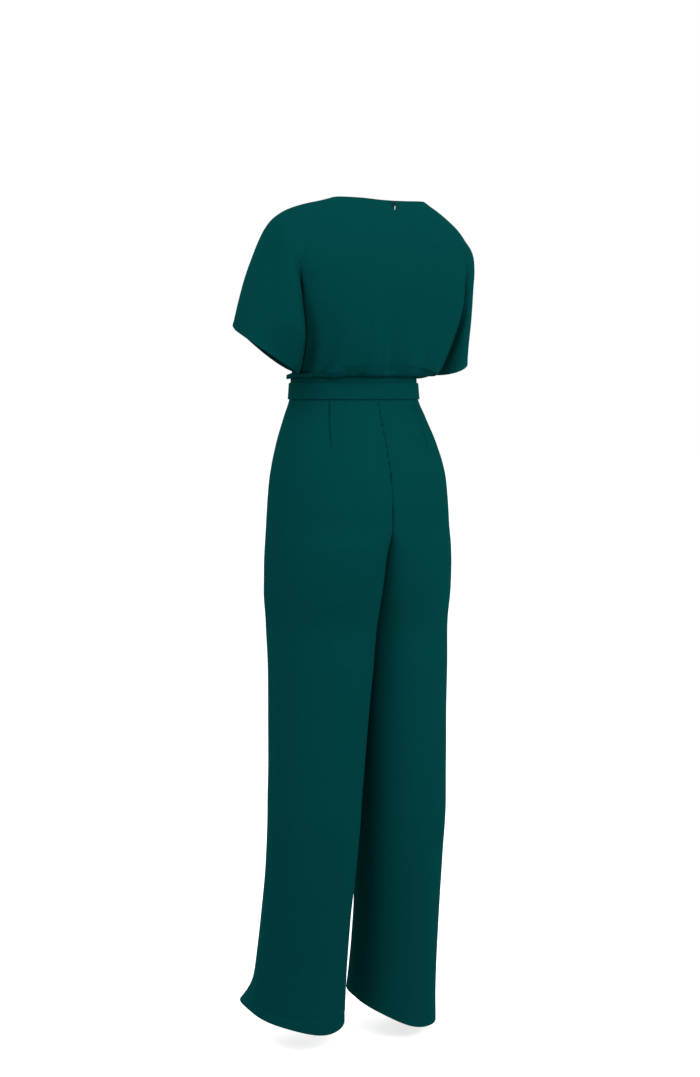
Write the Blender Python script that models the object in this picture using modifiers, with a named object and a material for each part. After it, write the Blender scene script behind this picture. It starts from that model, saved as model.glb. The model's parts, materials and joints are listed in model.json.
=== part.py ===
"""A worn jumpsuit as a hollow form: kimono-sleeved blouson bodice, waistband, belt and wide trousers.

Metres, +Z up. The garment's front faces -Y and the wearer's left is +X. The origin lies at the middle
of the neck opening, level with the shoulders, where the wearer holds the garment up.
Lengths in the tables are millimetres, heights run down from the shoulders.
"""

import math

import bmesh
import bpy
from mathutils import Matrix, Vector

MM = 0.001
TINY = 1e-9
WELD = 0.00001               # metres

# cloth and seams
CLOTH_THICKNESS = 1.6
SEAM_GAP = 0.3
HALF_GAP = SEAM_GAP / 2
SEAM_STRIP = 0.25            # width of the last cell beside a seam, as a share of a plain cell

# heights of the main seams and edges
WAIST_SEAM = -319.7
WAISTBAND_TOP = WAIST_SEAM - SEAM_GAP
WAISTBAND_HEIGHT = 40.5
WAISTBAND_ROWS = (WAISTBAND_TOP, WAISTBAND_TOP - WAISTBAND_HEIGHT / 2, WAISTBAND_TOP - WAISTBAND_HEIGHT)
TROUSER_TOP = WAISTBAND_TOP - WAISTBAND_HEIGHT - SEAM_GAP
BELT_TOP = -330.0
BELT_HEIGHT = 30.0
BELT_CLEARANCE = 0.6
BELT_THICKNESS = 2.4
SEAT_TOP = -575.0            # where the centre seams start to curve under
CROTCH = -660.0
HEM_START = -1200.0          # the hems' slopes fade in below this height
HEM = -1494.0

# section of the trousers at each height: axis shift, half width, depths, and the legs' inner corners
TROUSER_COLUMNS = ("z", "x", "y", "width", "back", "front", "inner", "corner_x", "corner_y")
TROUSER_TABLE = (
    (-320, 23, -60, 119.5, 98, 89, 0, 20, 20),
    (-357, 23, -60, 122, 102, 91, 0, 20, 20),
    (-390, 22, -60, 134, 114, 93, 0, 20, 20),
    (-440, 19, -60, 153, 130, 98, 0, 20, 20),
    (-506, 17, -60, 169, 147, 102, 0, 20, 20),
    (-565, 17, -60, 174, 154, 104, 0, 22, 22),
    (-619, 17, -60, 177, 153, 104, 0, 26, 26),
    (-667, 17, -60, 179, 148, 103, 0, 32, 34),
    (-706, 17, -61, 179, 142, 102, 0, 38, 42),
    (-767, 16, -64, 175, 130, 98, 1, 46, 50),
    (-845, 17, -57, 173, 120, 95, 2, 55, 62),
    (-935, 19, -53, 172, 112, 93, 4, 62, 76),
    (-1029, 21, -48, 172, 105, 91, 7, 70, 88),
    (-1105, 22, -47, 173, 101, 90, 10, 74, 94),
    (-1212, 22, -58, 172, 99, 90, 12, 76, 97),
    (-1315, 22, -76, 174, 98, 91, 13, 77, 98),
    (-1393, 22, -91, 177, 98, 93, 13, 78, 98),
    (-1447, 22, -101, 180, 99, 97, 12, 79, 99),
    (-1494, 22, -108, 184, 100, 104, 11, 80, 100),
)
# how far each hem lies below HEM (its level), and how much more at its back and at its outer side
HEM_LEFT = (14, 9, -8)
HEM_RIGHT = (26, 9, 24)

# the left hem's kick over the foot: its top, how far it stands out, and where it lies round the leg
FLARE_TOP = -1420.0
FLARE_DEPTH = 22.0
FLARE_TURN = 48.0
FLARE_SPREAD = 24.0

# rows of the bodice: 0 at the neckline, 1 at the sleeve hems and underarms, LAST_ROW at the waist seam
LAST_ROW = 1.5
CENTRE_COLUMNS = ("row", "x", "back_y", "back_z", "front_y", "front_z")
CENTRE_LINE = (
    (0.00, 0, 60, -9, -74, -44),
    (0.15, 8, 79, -52, -102, -84),
    (0.30, 15, 88, -98, -120, -124),
    (0.45, 20, 91, -145, -128, -164),
    (0.60, 24, 89, -186, -130, -198),
    (0.80, 27, 81, -240, -134, -244),
    (1.00, 28, 70, -290, -146, -290),
    (1.20, 27, 61, -314, -156, -314),
    (1.35, 25, 51, -324.5, -158, -325.5),
    (1.50, 23, 38, -319.7, -149, -319.7),
)
# the valley between body and sleeve, from the neckline to the underarm, then the side of the waist
VALLEY_COLUMNS = ("row", "x", "back_y", "front_y", "z", "crease")
VALLEY_LEFT = (
    (0.00, 62, 42, -46, -4, 0),
    (0.15, 108, 52, -70, -38, 0),
    (0.30, 148, 54, -86, -84, 0.1),
    (0.45, 172, 42, -96, -128, 0.5),
    (0.60, 166, 28, -98, -180, 0.9),
    (0.80, 151, 8, -84, -248, 1),
    (1.00, 143, -38, -38, -313.5, 1),
    (1.20, 150, -52, -52, -320.5, 1),
    (1.35, 149, -59, -59, -326.5, 1),
    (1.50, 142.5, -60, -60, -319.7, 1),
)
VALLEY_RIGHT = (
    (0.00, 62, 42, -46, -6, 0),
    (0.15, 98, 52, -72, -42, 0),
    (0.30, 134, 54, -90, -88, 0.1),
    (0.45, 156, 40, -100, -132, 0.5),
    (0.60, 160, 16, -100, -184, 0.9),
    (0.80, 150, -12, -88, -250, 1),
    (1.00, 132, -42, -42, -315, 1),
    (1.20, 127, -52, -52, -322, 1),
    (1.35, 114, -57, -57, -326.5, 1),
    (1.50, 96.5, -60, -60, -319.7, 1),
)
# the ridge over shoulder and arm, from the neck point to the sleeve's outer hem corner
RIDGE_COLUMNS = ("row", "x", "y", "z")
RIDGE_LEFT = (
    (0.00, 87, 0, 0),
    (0.10, 113, -6, -7),
    (0.20, 143, -15, -14),
    (0.28, 172, -26, -25),
    (0.35, 193, -35, -42),
    (0.45, 205, -42, -66),
    (0.55, 218, -45, -98),
    (0.70, 235, -46, -144),
    (0.85, 249, -46, -192),
    (1.00, 261, -46, -238),
)
RIDGE_RIGHT = (
    (0.00, 86, 0, -3),
    (0.10, 109, -7, -15),
    (0.20, 131, -14, -27),
    (0.28, 152, -22, -40),
    (0.35, 169, -30, -56),
    (0.45, 190, -38, -76),
    (0.55, 199, -45, -106),
    (0.70, 198, -48, -164),
    (0.85, 197, -50, -230),
    (1.00, 196, -50, -296),
)
# how far the sleeve stands out behind and before its ridge, and how far its hem hangs between its corners
SLEEVE_COLUMNS = ("row", "left_back", "left_front", "left_back_sag", "left_front_sag",
                  "right_back", "right_front", "right_back_sag", "right_front_sag")
SLEEVE = (
    (0.00, 6, 6, 0, 0, 6, 6, 0, 0),
    (0.15, 18, 20, 0, 0, 18, 20, 0, 0),
    (0.30, 34, 34, 0, 0, 30, 38, 0, 0),
    (0.45, 52, 48, 0, -2, 42, 56, 0, -2),
    (0.60, 66, 62, 4, -8, 46, 70, 4, -8),
    (0.80, 78, 72, 12, -20, 60, 80, 8, -16),
    (1.00, 84, 76, 26, -40, 68, 84, 12, -26),
)

# folds of the blouson above the waist: share of the way from the centre to the side, width, height
FOLD_COLUMNS = ("share", "width", "height")
FOLDS_LEFT = (
    (0.16, 0.05, -2.5),
    (0.30, 0.06, 2.0),
    (0.43, 0.06, 4.0),
    (0.57, 0.05, -4.5),
    (0.72, 0.07, 3.5),
    (0.88, 0.05, -2.0),
)
FOLDS_RIGHT = (
    (0.15, 0.05, -2.0),
    (0.30, 0.07, 3.0),
    (0.47, 0.05, -3.0),
    (0.63, 0.07, 3.0),
    (0.80, 0.06, -2.5),
)
FOLD_TOP_ROW = 0.7
FOLD_SAG = 0.6               # how much a fold hangs, for each unit that it stands out
FOLD_SAG_ROW = 0.9
FOLD_SAG_REACH = 0.3
# the side seam's half gap, and at its top, the underarm, where both walls fold inward and need more room
SIDE_GAP = 0.5
UNDERARM_GAP = 2.8
UNDERARM_REACH = 0.5
ROUNDNESS = 0.5523           # handle length that makes a cubic curve a quarter ellipse
SHOULDER_PULL = 0.22         # handle length over the shoulder, where body and sleeve run into each other
CREASE_OUT = 0.2             # how far the sleeve leans outward as it leaves the valley
CREASE_SAG = 0.3

# zip: gap of the seam at its top, then its slider, pull tab and chain
ZIP_MOUTH = 1.25
ZIP_MOUTH_END = -34.0
ZIP_BOTTOM = -540.0
ZIP_WIDTH = 20.0
ZIP_THICKNESS = 1.0
ZIP_COLUMNS = (-0.5, -0.25, 0.0, 0.25, 0.5)
SHORTEST_CELL = 2.5
ZIP_INSET = 2.1
CHAIN_START = 1.6             # from the slider's end to the chain's first row
SLIDER_DROP = 6.0            # from the neckline to the slider's middle, down the cloth
SLIDER_LENGTH = 9.0
SLIDER_WIDTH = 6.4
SLIDER_PLATE = 1.4
SLIDER_BACK_WIDTH = 7.6
SLIDER_NECK = 1.0
SLIDER_DISH = 0.1            # how much each plate hollows towards the neck
BRIDGE_Y = -1.0
BRIDGE_BAR = 0.9
BRIDGE_WIDTH = 4.2
BRIDGE_POST = 0.8
BRIDGE_ROOT = 0.5            # how deep its posts stand in the plate
PIVOT_RISE = 1.8             # of the tab's pivot above the slider's plate
TAB_EYE_RADIUS = 1.5
TAB_HOLE_RADIUS = 0.75
TAB_EYE_WIDTH = 2.0
TAB_LENGTH = 15.0
TAB_WIDTH = 4.4
TAB_THICKNESS = 0.9
TAB_ROOT = 0.3               # how deep the tab stands in its eye
TAB_SHOULDER = 0.6           # its width at the eye, as a share of its full width
TAB_SHOULDER_LENGTH = 2.5
TAB_TILT = 9.0               # degrees towards the cloth, where the tab's tip rests
ROUND_SEGMENTS = 20

# grids
WALL_CELLS = 4
OUTSIDE_CELLS = 7
CORNER_SHARE = 0.09
SIDE_EVENNESS = 0.6          # 1 for rows evenly spaced down the legs, less for closer rows at the seat
WAIST_TO_SEAT_ROWS = 7
SEAT_ROWS = 5
LEG_ROWS = 12
BODY_COLUMNS = 12
SLEEVE_CELLS = 7
NECK_ROWS = 3
NECK_END_ROW = 0.12
YOKE_ROWS = 11
BLOUSE_ROWS = 7
RING_CELLS = 44
BELT_CELLS = 52
BELT_ROWS = 2
PATH_STEPS = 120

# belt: it starts at the front, runs once round and laps over its own start
BELT_LAP = 50.0              # degrees of overlap
BELT_LAP_RISE = 25.0         # degrees over which its end climbs on to its start


# ---------------------------------------------------------------- tables and paths

def read_table(table, columns, key, name):
    """Value of one column at a key, on a smooth curve through the table's rows."""
    index = columns.index(name)
    rows = sorted((row[0], row[index]) for row in table)
    key = min(max(key, rows[0][0]), rows[-1][0])
    last = len(rows) - 1
    i = 0
    while i < last - 1 and key > rows[i + 1][0]:
        i += 1

    def slope(j):
        return (rows[j + 1][1] - rows[j][1]) / (rows[j + 1][0] - rows[j][0])

    def tangent(j):
        if j == 0:
            return slope(0)
        if j == last:
            return slope(last - 1)
        before = slope(j - 1)
        after = slope(j)
        if before * after <= 0:
            return 0.0
        return 2 * before * after / (before + after)

    step = rows[i + 1][0] - rows[i][0]
    t = (key - rows[i][0]) / step
    start = rows[i][1]
    end = rows[i + 1][1]
    return (start * (2 * t ** 3 - 3 * t ** 2 + 1) + end * (3 * t ** 2 - 2 * t ** 3)
            + step * tangent(i) * (t ** 3 - 2 * t ** 2 + t) + step * tangent(i + 1) * (t ** 3 - t ** 2))


def read_guide(table, columns, key, *names):
    return [read_table(table, columns, key, name) for name in names]


def blend(a, b, t):
    return a + (b - a) * t


def seam_shares(cells):
    """Shares along an edge, 0 to 1, with a narrow cell beside each end."""
    widths = [SEAM_STRIP] + [1.0] * (cells - 2) + [SEAM_STRIP]
    shares = [0.0]
    for width in widths:
        shares.append(shares[-1] + width / sum(widths))
    shares[-1] = 1.0
    return shares


def edge_shares(cells):
    """Shares along an edge with a narrow cell at its start only."""
    shares = seam_shares(cells + 1)[:-1]
    return [share / shares[-1] for share in shares]


def resample(path, shares):
    """Points at the given shares of a path's length."""
    lengths = [0.0]
    for a, b in zip(path, path[1:]):
        lengths.append(lengths[-1] + (b - a).length)
    points = []
    i = 0
    for share in shares:
        target = share * lengths[-1]
        while i < len(path) - 2 and lengths[i + 1] < target:
            i += 1
        span = max(lengths[i + 1] - lengths[i], TINY)
        t = min(max((target - lengths[i]) / span, 0.0), 1.0)
        points.append(path[i].lerp(path[i + 1], t))
    return points


def bezier(start, leave, arrive, end, steps):
    """Points of a cubic curve from start to end, pulled towards the two between."""
    points = []
    for i in range(steps + 1):
        t = i / steps
        u = 1 - t
        points.append(start * u ** 3 + leave * (3 * u * u * t) + arrive * (3 * u * t * t) + end * t ** 3)
    return points


# ---------------------------------------------------------------- trousers

def trouser_value(z, name):
    return read_table(TROUSER_TABLE, TROUSER_COLUMNS, z, name)


def seat_seam(z, depth):
    """Distance of the centre seam from the axis: full depth above the seat, 0 at the crotch and below."""
    if z >= SEAT_TOP:
        return depth
    fall = min((SEAT_TOP - z) / (SEAT_TOP - CROTCH), 1.0)
    return depth * math.sqrt(1 - fall * fall)


def flare_fade(z):
    """The left leg's hem kicks out in front, over the foot."""
    return min(max((FLARE_TOP - z) / (FLARE_TOP - HEM), 0.0), 1.0) ** 2


def hem_fade(z):
    return min(max((HEM_START - z) / (HEM_START - HEM), 0.0), 1.0) ** 2


def trouser_path(side, back, z):
    """Section of a quarter of the trousers, from the centre seam or inseam to the side seam.

    Returned in two parts: the leg's inner side up to its corner, and the outside from there on.
    """
    depth = trouser_value(z, "back" if back else "front")
    width = trouser_value(z, "width")
    inner = trouser_value(z, "inner") + HALF_GAP
    seam = max(seat_seam(z, depth), HALF_GAP)
    groove = depth - seam
    corner_x = min(trouser_value(z, "corner_x"), groove)
    corner_y = min(trouser_value(z, "corner_y"), groove)
    wall = []
    outside = []
    steps = PATH_STEPS // 3
    for i in range(steps):
        wall.append((inner, blend(seam, depth - corner_y, i / steps)))
    for i in range(steps):
        turn = math.pi / 2 * i / steps
        point = (inner + corner_x * (1 - math.cos(turn)), depth - corner_y * (1 - math.sin(turn)))
        (wall if i < steps // 2 else outside).append(point)
    start = inner + corner_x
    for i in range(PATH_STEPS + 1):
        turn = math.pi / 2 * i / PATH_STEPS
        flare = 0.0
        if side > 0 and not back:
            off = (math.degrees(turn) - FLARE_TURN) / FLARE_SPREAD
            flare = FLARE_DEPTH * flare_fade(z) * math.exp(-off * off)
        x = start + (width + flare - start) * math.sin(turn)
        outside.append((x, max((depth + flare) * math.cos(turn), HALF_GAP)))
    wall.append(outside[0])
    centre_x = trouser_value(z, "x")
    centre_y = trouser_value(z, "y")
    facing = 1 if back else -1
    level, back_drop, outer_drop = HEM_LEFT if side > 0 else HEM_RIGHT

    def place(x, y):
        outer = (2 * x - width - inner) / (width - inner)
        drop = hem_fade(z) * (level + back_drop * facing * y / depth + outer_drop * outer)
        return Vector((centre_x + side * x, centre_y + facing * y, z - drop))

    return [place(x, y) for x, y in wall], [place(x, y) for x, y in outside]


def path_length(path):
    return sum((b - a).length for a, b in zip(path, path[1:]))


def corner_share(side, back, z):
    """Share of a row that belongs to the leg's inner side; above the seat it is a narrow strip."""
    wall, outside = trouser_path(side, back, z)
    length = path_length(wall)
    return math.hypot(length / (length + path_length(outside)), CORNER_SHARE)


def trouser_rows():
    """Heights of each row at the centre seam, which curves under to the crotch, and at the side seam."""
    rows = []
    for i in range(WAIST_TO_SEAT_ROWS):
        z = blend(TROUSER_TOP, SEAT_TOP, i / WAIST_TO_SEAT_ROWS)
        rows.append((z, z))
    lower_rows = SEAT_ROWS + LEG_ROWS
    for i in range(lower_rows + 1):
        share = i / lower_rows
        side_z = blend(SEAT_TOP, HEM, blend(share * share, share, SIDE_EVENNESS))
        if i < SEAT_ROWS:
            centre_z = blend(SEAT_TOP, CROTCH, math.sin(math.pi / 2 * i / SEAT_ROWS))
        else:
            share = (i - SEAT_ROWS) / LEG_ROWS
            centre_z = blend(CROTCH, HEM, blend(share * share, share, SIDE_EVENNESS))
        rows.append((centre_z, side_z))
    return rows


def trouser_grid(side, back):
    wall_shares = edge_shares(WALL_CELLS)
    outside_shares = [1 - share for share in edge_shares(OUTSIDE_CELLS)[::-1]]
    grid = []
    for centre_z, side_z in trouser_rows():
        corner = corner_share(side, back, blend(centre_z, side_z, CORNER_SHARE))
        shares = [corner * share for share in wall_shares]
        shares += [blend(corner, 1.0, share) for share in outside_shares[1:]]
        row = []
        for share in shares:
            wall, outside = trouser_path(side, back, blend(centre_z, side_z, share))
            row.append(resample(wall + outside[1:], [share])[0])
        grid.append(row)
    return grid


def waist_point(turn, z, outset):
    """Point on the waist's section, by its angle from the wearer's left towards the back."""
    depth = trouser_value(z, "back" if math.sin(turn) > 0 else "front") + outset
    width = trouser_value(z, "width") + outset
    x = trouser_value(z, "x") + width * math.cos(turn)
    return Vector((x, trouser_value(z, "y") + depth * math.sin(turn), z))


# ---------------------------------------------------------------- bodice

def zip_gap(z):
    """Half the width of the centre back seam, which stands open a little round the zip's slider."""
    return HALF_GAP + (ZIP_MOUTH - HALF_GAP) * min(max((z - ZIP_MOUTH_END) / -ZIP_MOUTH_END, 0.0), 1.0)


def bodice_guides(side, back, row):
    """Centre, valley and ridge points of a row of a half bodice."""
    word = "back" if back else "front"
    facing = 1 if back else -1
    underarm = max(0.0, 1 - ((row - 1) / UNDERARM_REACH) ** 2)
    x, y, z = read_guide(CENTRE_LINE, CENTRE_COLUMNS, row, "x", word + "_y", word + "_z")
    centre = Vector((x + side * (zip_gap(z) if back else 0.0), y, z))
    table = VALLEY_LEFT if side > 0 else VALLEY_RIGHT
    x, y, z = read_guide(table, VALLEY_COLUMNS, row, "x", word + "_y", "z")
    valley = Vector((side * x, y + facing * blend(SIDE_GAP, UNDERARM_GAP, underarm), z))
    table = RIDGE_LEFT if side > 0 else RIDGE_RIGHT
    x, y, z = read_guide(table, RIDGE_COLUMNS, row, "x", "y", "z")
    ridge = Vector((side * x, y + facing * HALF_GAP, z))
    return centre, valley, ridge


def crease(side, row):
    return read_table(VALLEY_LEFT if side > 0 else VALLEY_RIGHT, VALLEY_COLUMNS, row, "crease")


def body_path(side, back, row):
    """Body part of a row, from the centre line to the valley or the side of the waist."""
    centre, valley, ridge = bodice_guides(side, back, row)
    leave = centre + Vector(((valley.x - centre.x) * ROUNDNESS, 0, 0))
    smooth = valley - (ridge - centre) * SHOULDER_PULL
    creased = valley + Vector((0, (centre.y - valley.y) * ROUNDNESS, 0))
    return bezier(centre, leave, smooth.lerp(creased, crease(side, row)), valley, PATH_STEPS)


def sleeve_path(side, back, row):
    """Sleeve part of a row, from the valley over to the ridge; the last one is the sleeve's hem."""
    centre, valley, ridge = bodice_guides(side, back, row)
    word = "left" if side > 0 else "right"
    end = "_back" if back else "_front"
    bulge = read_table(SLEEVE, SLEEVE_COLUMNS, row, word + end)
    sag = read_table(SLEEVE, SLEEVE_COLUMNS, row, word + end + "_sag")
    facing = 1 if back else -1
    span = ridge - valley
    smooth = valley + (ridge - centre) * SHOULDER_PULL
    creased = valley + Vector((span.x * CREASE_OUT, facing * bulge, -sag * CREASE_SAG))
    arrive = ridge + Vector((0, facing * bulge, -sag))
    return bezier(valley, smooth.lerp(creased, crease(side, row)), arrive, ridge, PATH_STEPS)


def fold_height(side, row, share):
    """How far a point of the blouson stands out in its folds, which fade out at the waist seam."""
    if row <= FOLD_TOP_ROW or row >= LAST_ROW:
        return 0.0
    rise = math.sin(math.pi * (row - FOLD_TOP_ROW) / (LAST_ROW - FOLD_TOP_ROW))
    total = 0.0
    for fold in FOLDS_LEFT if side > 0 else FOLDS_RIGHT:
        centre, width, height = [fold[FOLD_COLUMNS.index(name)] for name in FOLD_COLUMNS]
        total += height * math.exp(-((share - centre) / width) ** 2)
    return total * rise


def bodice_rows():
    rows = []
    spans = ((0.0, NECK_END_ROW, NECK_ROWS), (NECK_END_ROW, 1.0, YOKE_ROWS), (1.0, LAST_ROW, BLOUSE_ROWS))
    for start, end, cells in spans:
        for i in range(cells):
            rows.append(blend(start, end, i / cells))
    rows.append(LAST_ROW)
    return rows


def bodice_half(side, back):
    """Grids of the body part, down to the waist, and of the sleeve part, down to its hem."""
    body = []
    sleeve = []
    shares = seam_shares(BODY_COLUMNS)
    for row in bodice_rows():
        points = resample(body_path(side, back, row), shares)
        axis = Vector((points[0].x, points[-1].y, 0))
        for point, share in zip(points, shares):
            out = Vector((point.x - axis.x, point.y - axis.y, 0)).normalized()
            height = fold_height(side, row, share)
            hang = min(max((row - FOLD_SAG_ROW) / FOLD_SAG_REACH, 0.0), 1.0)
            point += out * height - Vector((0, 0, FOLD_SAG * height * hang))
        body.append(points)
        if row <= 1.0001:
            sleeve.append(resample(sleeve_path(side, back, row), seam_shares(SLEEVE_CELLS)))
    return body, sleeve


# ---------------------------------------------------------------- zip

def centre_back_profile():
    """The centre back line in the plane of the seam: down the bodice, the waistband and the trousers."""
    profile = []
    steps = 200
    for i in range(steps):
        row = LAST_ROW * i / steps
        profile.append(Vector(read_guide(CENTRE_LINE, CENTRE_COLUMNS, row, "x", "back_y", "back_z")))
    for i in range(steps + 1):
        z = blend(WAISTBAND_TOP, ZIP_BOTTOM, i / steps)
        y = trouser_value(z, "y") + trouser_value(z, "back")
        profile.append(Vector((trouser_value(z, "x"), y, z)))
    return profile


def profile_frame(profile, distance):
    """Point, downward direction and outward direction at a distance along a profile."""
    travelled = 0.0
    for a, b in zip(profile, profile[1:]):
        step = (b - a).length
        if travelled + step >= distance:
            down = (b - a).normalized()
            return a.lerp(b, (distance - travelled) / step), down, Vector((1, 0, 0)).cross(down).normalized()
        travelled += step
    raise ValueError("the profile is shorter than that")


def across_row(left, right, x):
    """Point of a row at a distance across from the centre seam, on the straight edges between its points."""
    row = left if x > 0 else right
    if x == 0:
        return (left[0] + right[0]) / 2
    return resample(row, [abs(x) / path_length(row)])[0]


def zip_grid(left_rows, right_rows):
    """Rows across the zip's chain and tapes: the back panels' own rows, moved inward."""
    offsets = [ZIP_WIDTH * share for share in ZIP_COLUMNS]
    grid = [[across_row(left, right, x) for x in offsets] for left, right in zip(left_rows, right_rows)]
    middle = [row[2] for row in grid]
    inner = []
    for i, row in enumerate(grid):
        normals = []
        for a, b in zip(middle[max(i - 1, 0):i + 1], middle[max(i, 1):i + 2]):
            normals.append(Vector((1, 0, 0)).cross(b - a).normalized())
        move = normals[0]
        if len(normals) == 2:
            move = (normals[0] + normals[1]) / (1 + normals[0].dot(normals[1]))
        inner.append([point - move * ZIP_INSET for point in row])
    start = SLIDER_DROP + SLIDER_LENGTH / 2 + CHAIN_START
    while (inner[1][2] - inner[0][2]).length <= start + SHORTEST_CELL:
        start -= (inner[1][2] - inner[0][2]).length
        inner.pop(0)
    share = start / (inner[1][2] - inner[0][2]).length
    inner[0] = [a.lerp(b, share) for a, b in zip(inner[0], inner[1])]
    while inner[-2][2].z < ZIP_BOTTOM:
        inner.pop()
    share = (inner[-2][2].z - ZIP_BOTTOM) / (inner[-2][2].z - inner[-1][2].z)
    inner[-1] = [a.lerp(b, share) for a, b in zip(inner[-2], inner[-1])]
    return inner


def slider_frame():
    """Matrix from the slider's own axes (across, down the cloth, outward) to the world, in metres."""
    point, down, out = profile_frame(centre_back_profile(), SLIDER_DROP)
    across = down.cross(out)
    matrix = Matrix((across, down, out)).transposed().to_4x4()
    matrix.translation = point * MM
    return matrix


# ---------------------------------------------------------------- meshes

def make_material(name, colour, roughness, metallic=0.0):
    material = bpy.data.materials.new(name)
    material.use_nodes = True
    shader = material.node_tree.nodes["Principled BSDF"]
    shader.inputs["Base Color"].default_value = (*colour, 1.0)
    shader.inputs["Roughness"].default_value = roughness
    shader.inputs["Metallic"].default_value = metallic
    return material


def link_piece(name, mesh, material, collection):
    piece = bpy.data.objects.new(name, mesh)
    collection.objects.link(piece)
    mesh.materials.append(material)
    return piece


def split_flattest(work, a, b, c, d):
    """Two triangles for a cell, along the diagonal over which it bends least."""
    bends = []
    for corners in ((a, b, c, d), (b, c, d, a)):
        p, q, r, s = [corner.co for corner in corners]
        bends.append((q - p).cross(r - p).normalized().dot((r - p).cross(s - p).normalized()))
    if bends[0] >= bends[1]:
        work.faces.new((a, b, c))
        work.faces.new((a, c, d))
    else:
        work.faces.new((b, c, d))
        work.faces.new((b, d, a))


def add_shell(name, grids, thickness, material, collection):
    """Open surface through grids of points that share their edges, made a wall that grows inward."""
    mesh = bpy.data.meshes.new(name)
    work = bmesh.new()
    for grid in grids:
        rows = [[work.verts.new(point * MM) for point in row] for row in grid]
        for upper, lower in zip(rows, rows[1:]):
            for i in range(len(upper) - 1):
                split_flattest(work, upper[i], lower[i], lower[i + 1], upper[i + 1])
    bmesh.ops.remove_doubles(work, verts=work.verts, dist=WELD)
    work.to_mesh(mesh)
    work.free()
    mesh.shade_smooth()
    piece = link_piece(name, mesh, material, collection)
    wall = piece.modifiers.new("Wall", "SOLIDIFY")
    wall.thickness = thickness * MM
    wall.offset = -1
    return piece


def mirrored(grid):
    """The same grid with its columns in the other order, which turns its faces over."""
    return [row[::-1] for row in grid]


def extruded_outline(name, outline, holes, depth, matrix, material, collection):
    """A flat outline with its holes, made a plate of the given depth; the matrix lays it in its place."""
    curve = bpy.data.curves.new(name, "CURVE")
    curve.dimensions = "2D"
    curve.fill_mode = "BOTH"
    curve.extrude = depth * MM / 2
    for loop in [outline] + holes:
        spline = curve.splines.new("POLY")
        spline.points.add(len(loop) - 1)
        for point, (x, y) in zip(spline.points, loop):
            point.co = (x * MM, y * MM, 0, 1)
        spline.use_cyclic_u = True
    source = bpy.data.objects.new(name + "_outline", curve)
    bpy.context.scene.collection.objects.link(source)
    graph = bpy.context.evaluated_depsgraph_get()
    mesh = bpy.data.meshes.new_from_object(source.evaluated_get(graph))
    bpy.data.objects.remove(source, do_unlink=True)
    bpy.data.curves.remove(curve)
    work = bmesh.new()
    work.from_mesh(mesh)
    bmesh.ops.remove_doubles(work, verts=work.verts, dist=WELD)
    work.to_mesh(mesh)
    work.free()
    mesh.name = name
    mesh.materials.clear()
    piece = link_piece(name, mesh, material, collection)
    piece.matrix_world = matrix
    return piece


def circle(radius, x, y):
    turns = [2 * math.pi * i / ROUND_SEGMENTS for i in range(ROUND_SEGMENTS)]
    return [(x + radius * math.cos(turn), y + radius * math.sin(turn)) for turn in turns]


def unite(piece, other):
    other.hide_render = True
    other.display_type = "WIRE"
    union = piece.modifiers.new("Join " + other.name, "BOOLEAN")
    union.operation = "UNION"
    union.object = other


def add_slider(material, parts, cutters):
    """Plate outside the cloth and plate inside it, joined through the seam, with a bridge for the tab."""
    frame = slider_frame()
    # this outline lies across the slider: x across, y outward, its depth down the cloth
    across = frame @ Matrix(((1, 0, 0, 0), (0, 0, -1, 0), (0, 1, 0, 0), (0, 0, 0, 1)))
    plate_low = SEAM_GAP
    plate_top = plate_low + SLIDER_PLATE
    inside = -CLOTH_THICKNESS - SEAM_GAP
    half = SLIDER_WIDTH / 2
    back_half = SLIDER_BACK_WIDTH / 2
    neck = SLIDER_NECK / 2
    outline = [
        (-half, plate_top), (-half, plate_low), (-neck, plate_low + SLIDER_DISH),
        (-neck, inside - SLIDER_DISH), (-back_half, inside), (-back_half, inside - SLIDER_PLATE),
        (back_half, inside - SLIDER_PLATE), (back_half, inside), (neck, inside - SLIDER_DISH),
        (neck, plate_low + SLIDER_DISH), (half, plate_low), (half, plate_top),
    ]
    slider = extruded_outline("zip_slider", outline, [], SLIDER_LENGTH, across, material, parts)
    pivot = plate_top + PIVOT_RISE
    wide = BRIDGE_WIDTH / 2
    narrow = wide - BRIDGE_POST
    bar = BRIDGE_BAR / 2
    root = plate_top - BRIDGE_ROOT
    outline = [
        (-wide, root), (-narrow, root), (-narrow, pivot - bar), (narrow, pivot - bar),
        (narrow, root), (wide, root), (wide, pivot + bar), (-wide, pivot + bar),
    ]
    shift = Matrix.Translation((0, BRIDGE_Y * MM, 0))
    place = frame @ shift @ frame.inverted() @ across
    bridge = extruded_outline("slider_bridge", outline, [], BRIDGE_BAR, place, material, cutters)
    unite(slider, bridge)
    return slider


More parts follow.
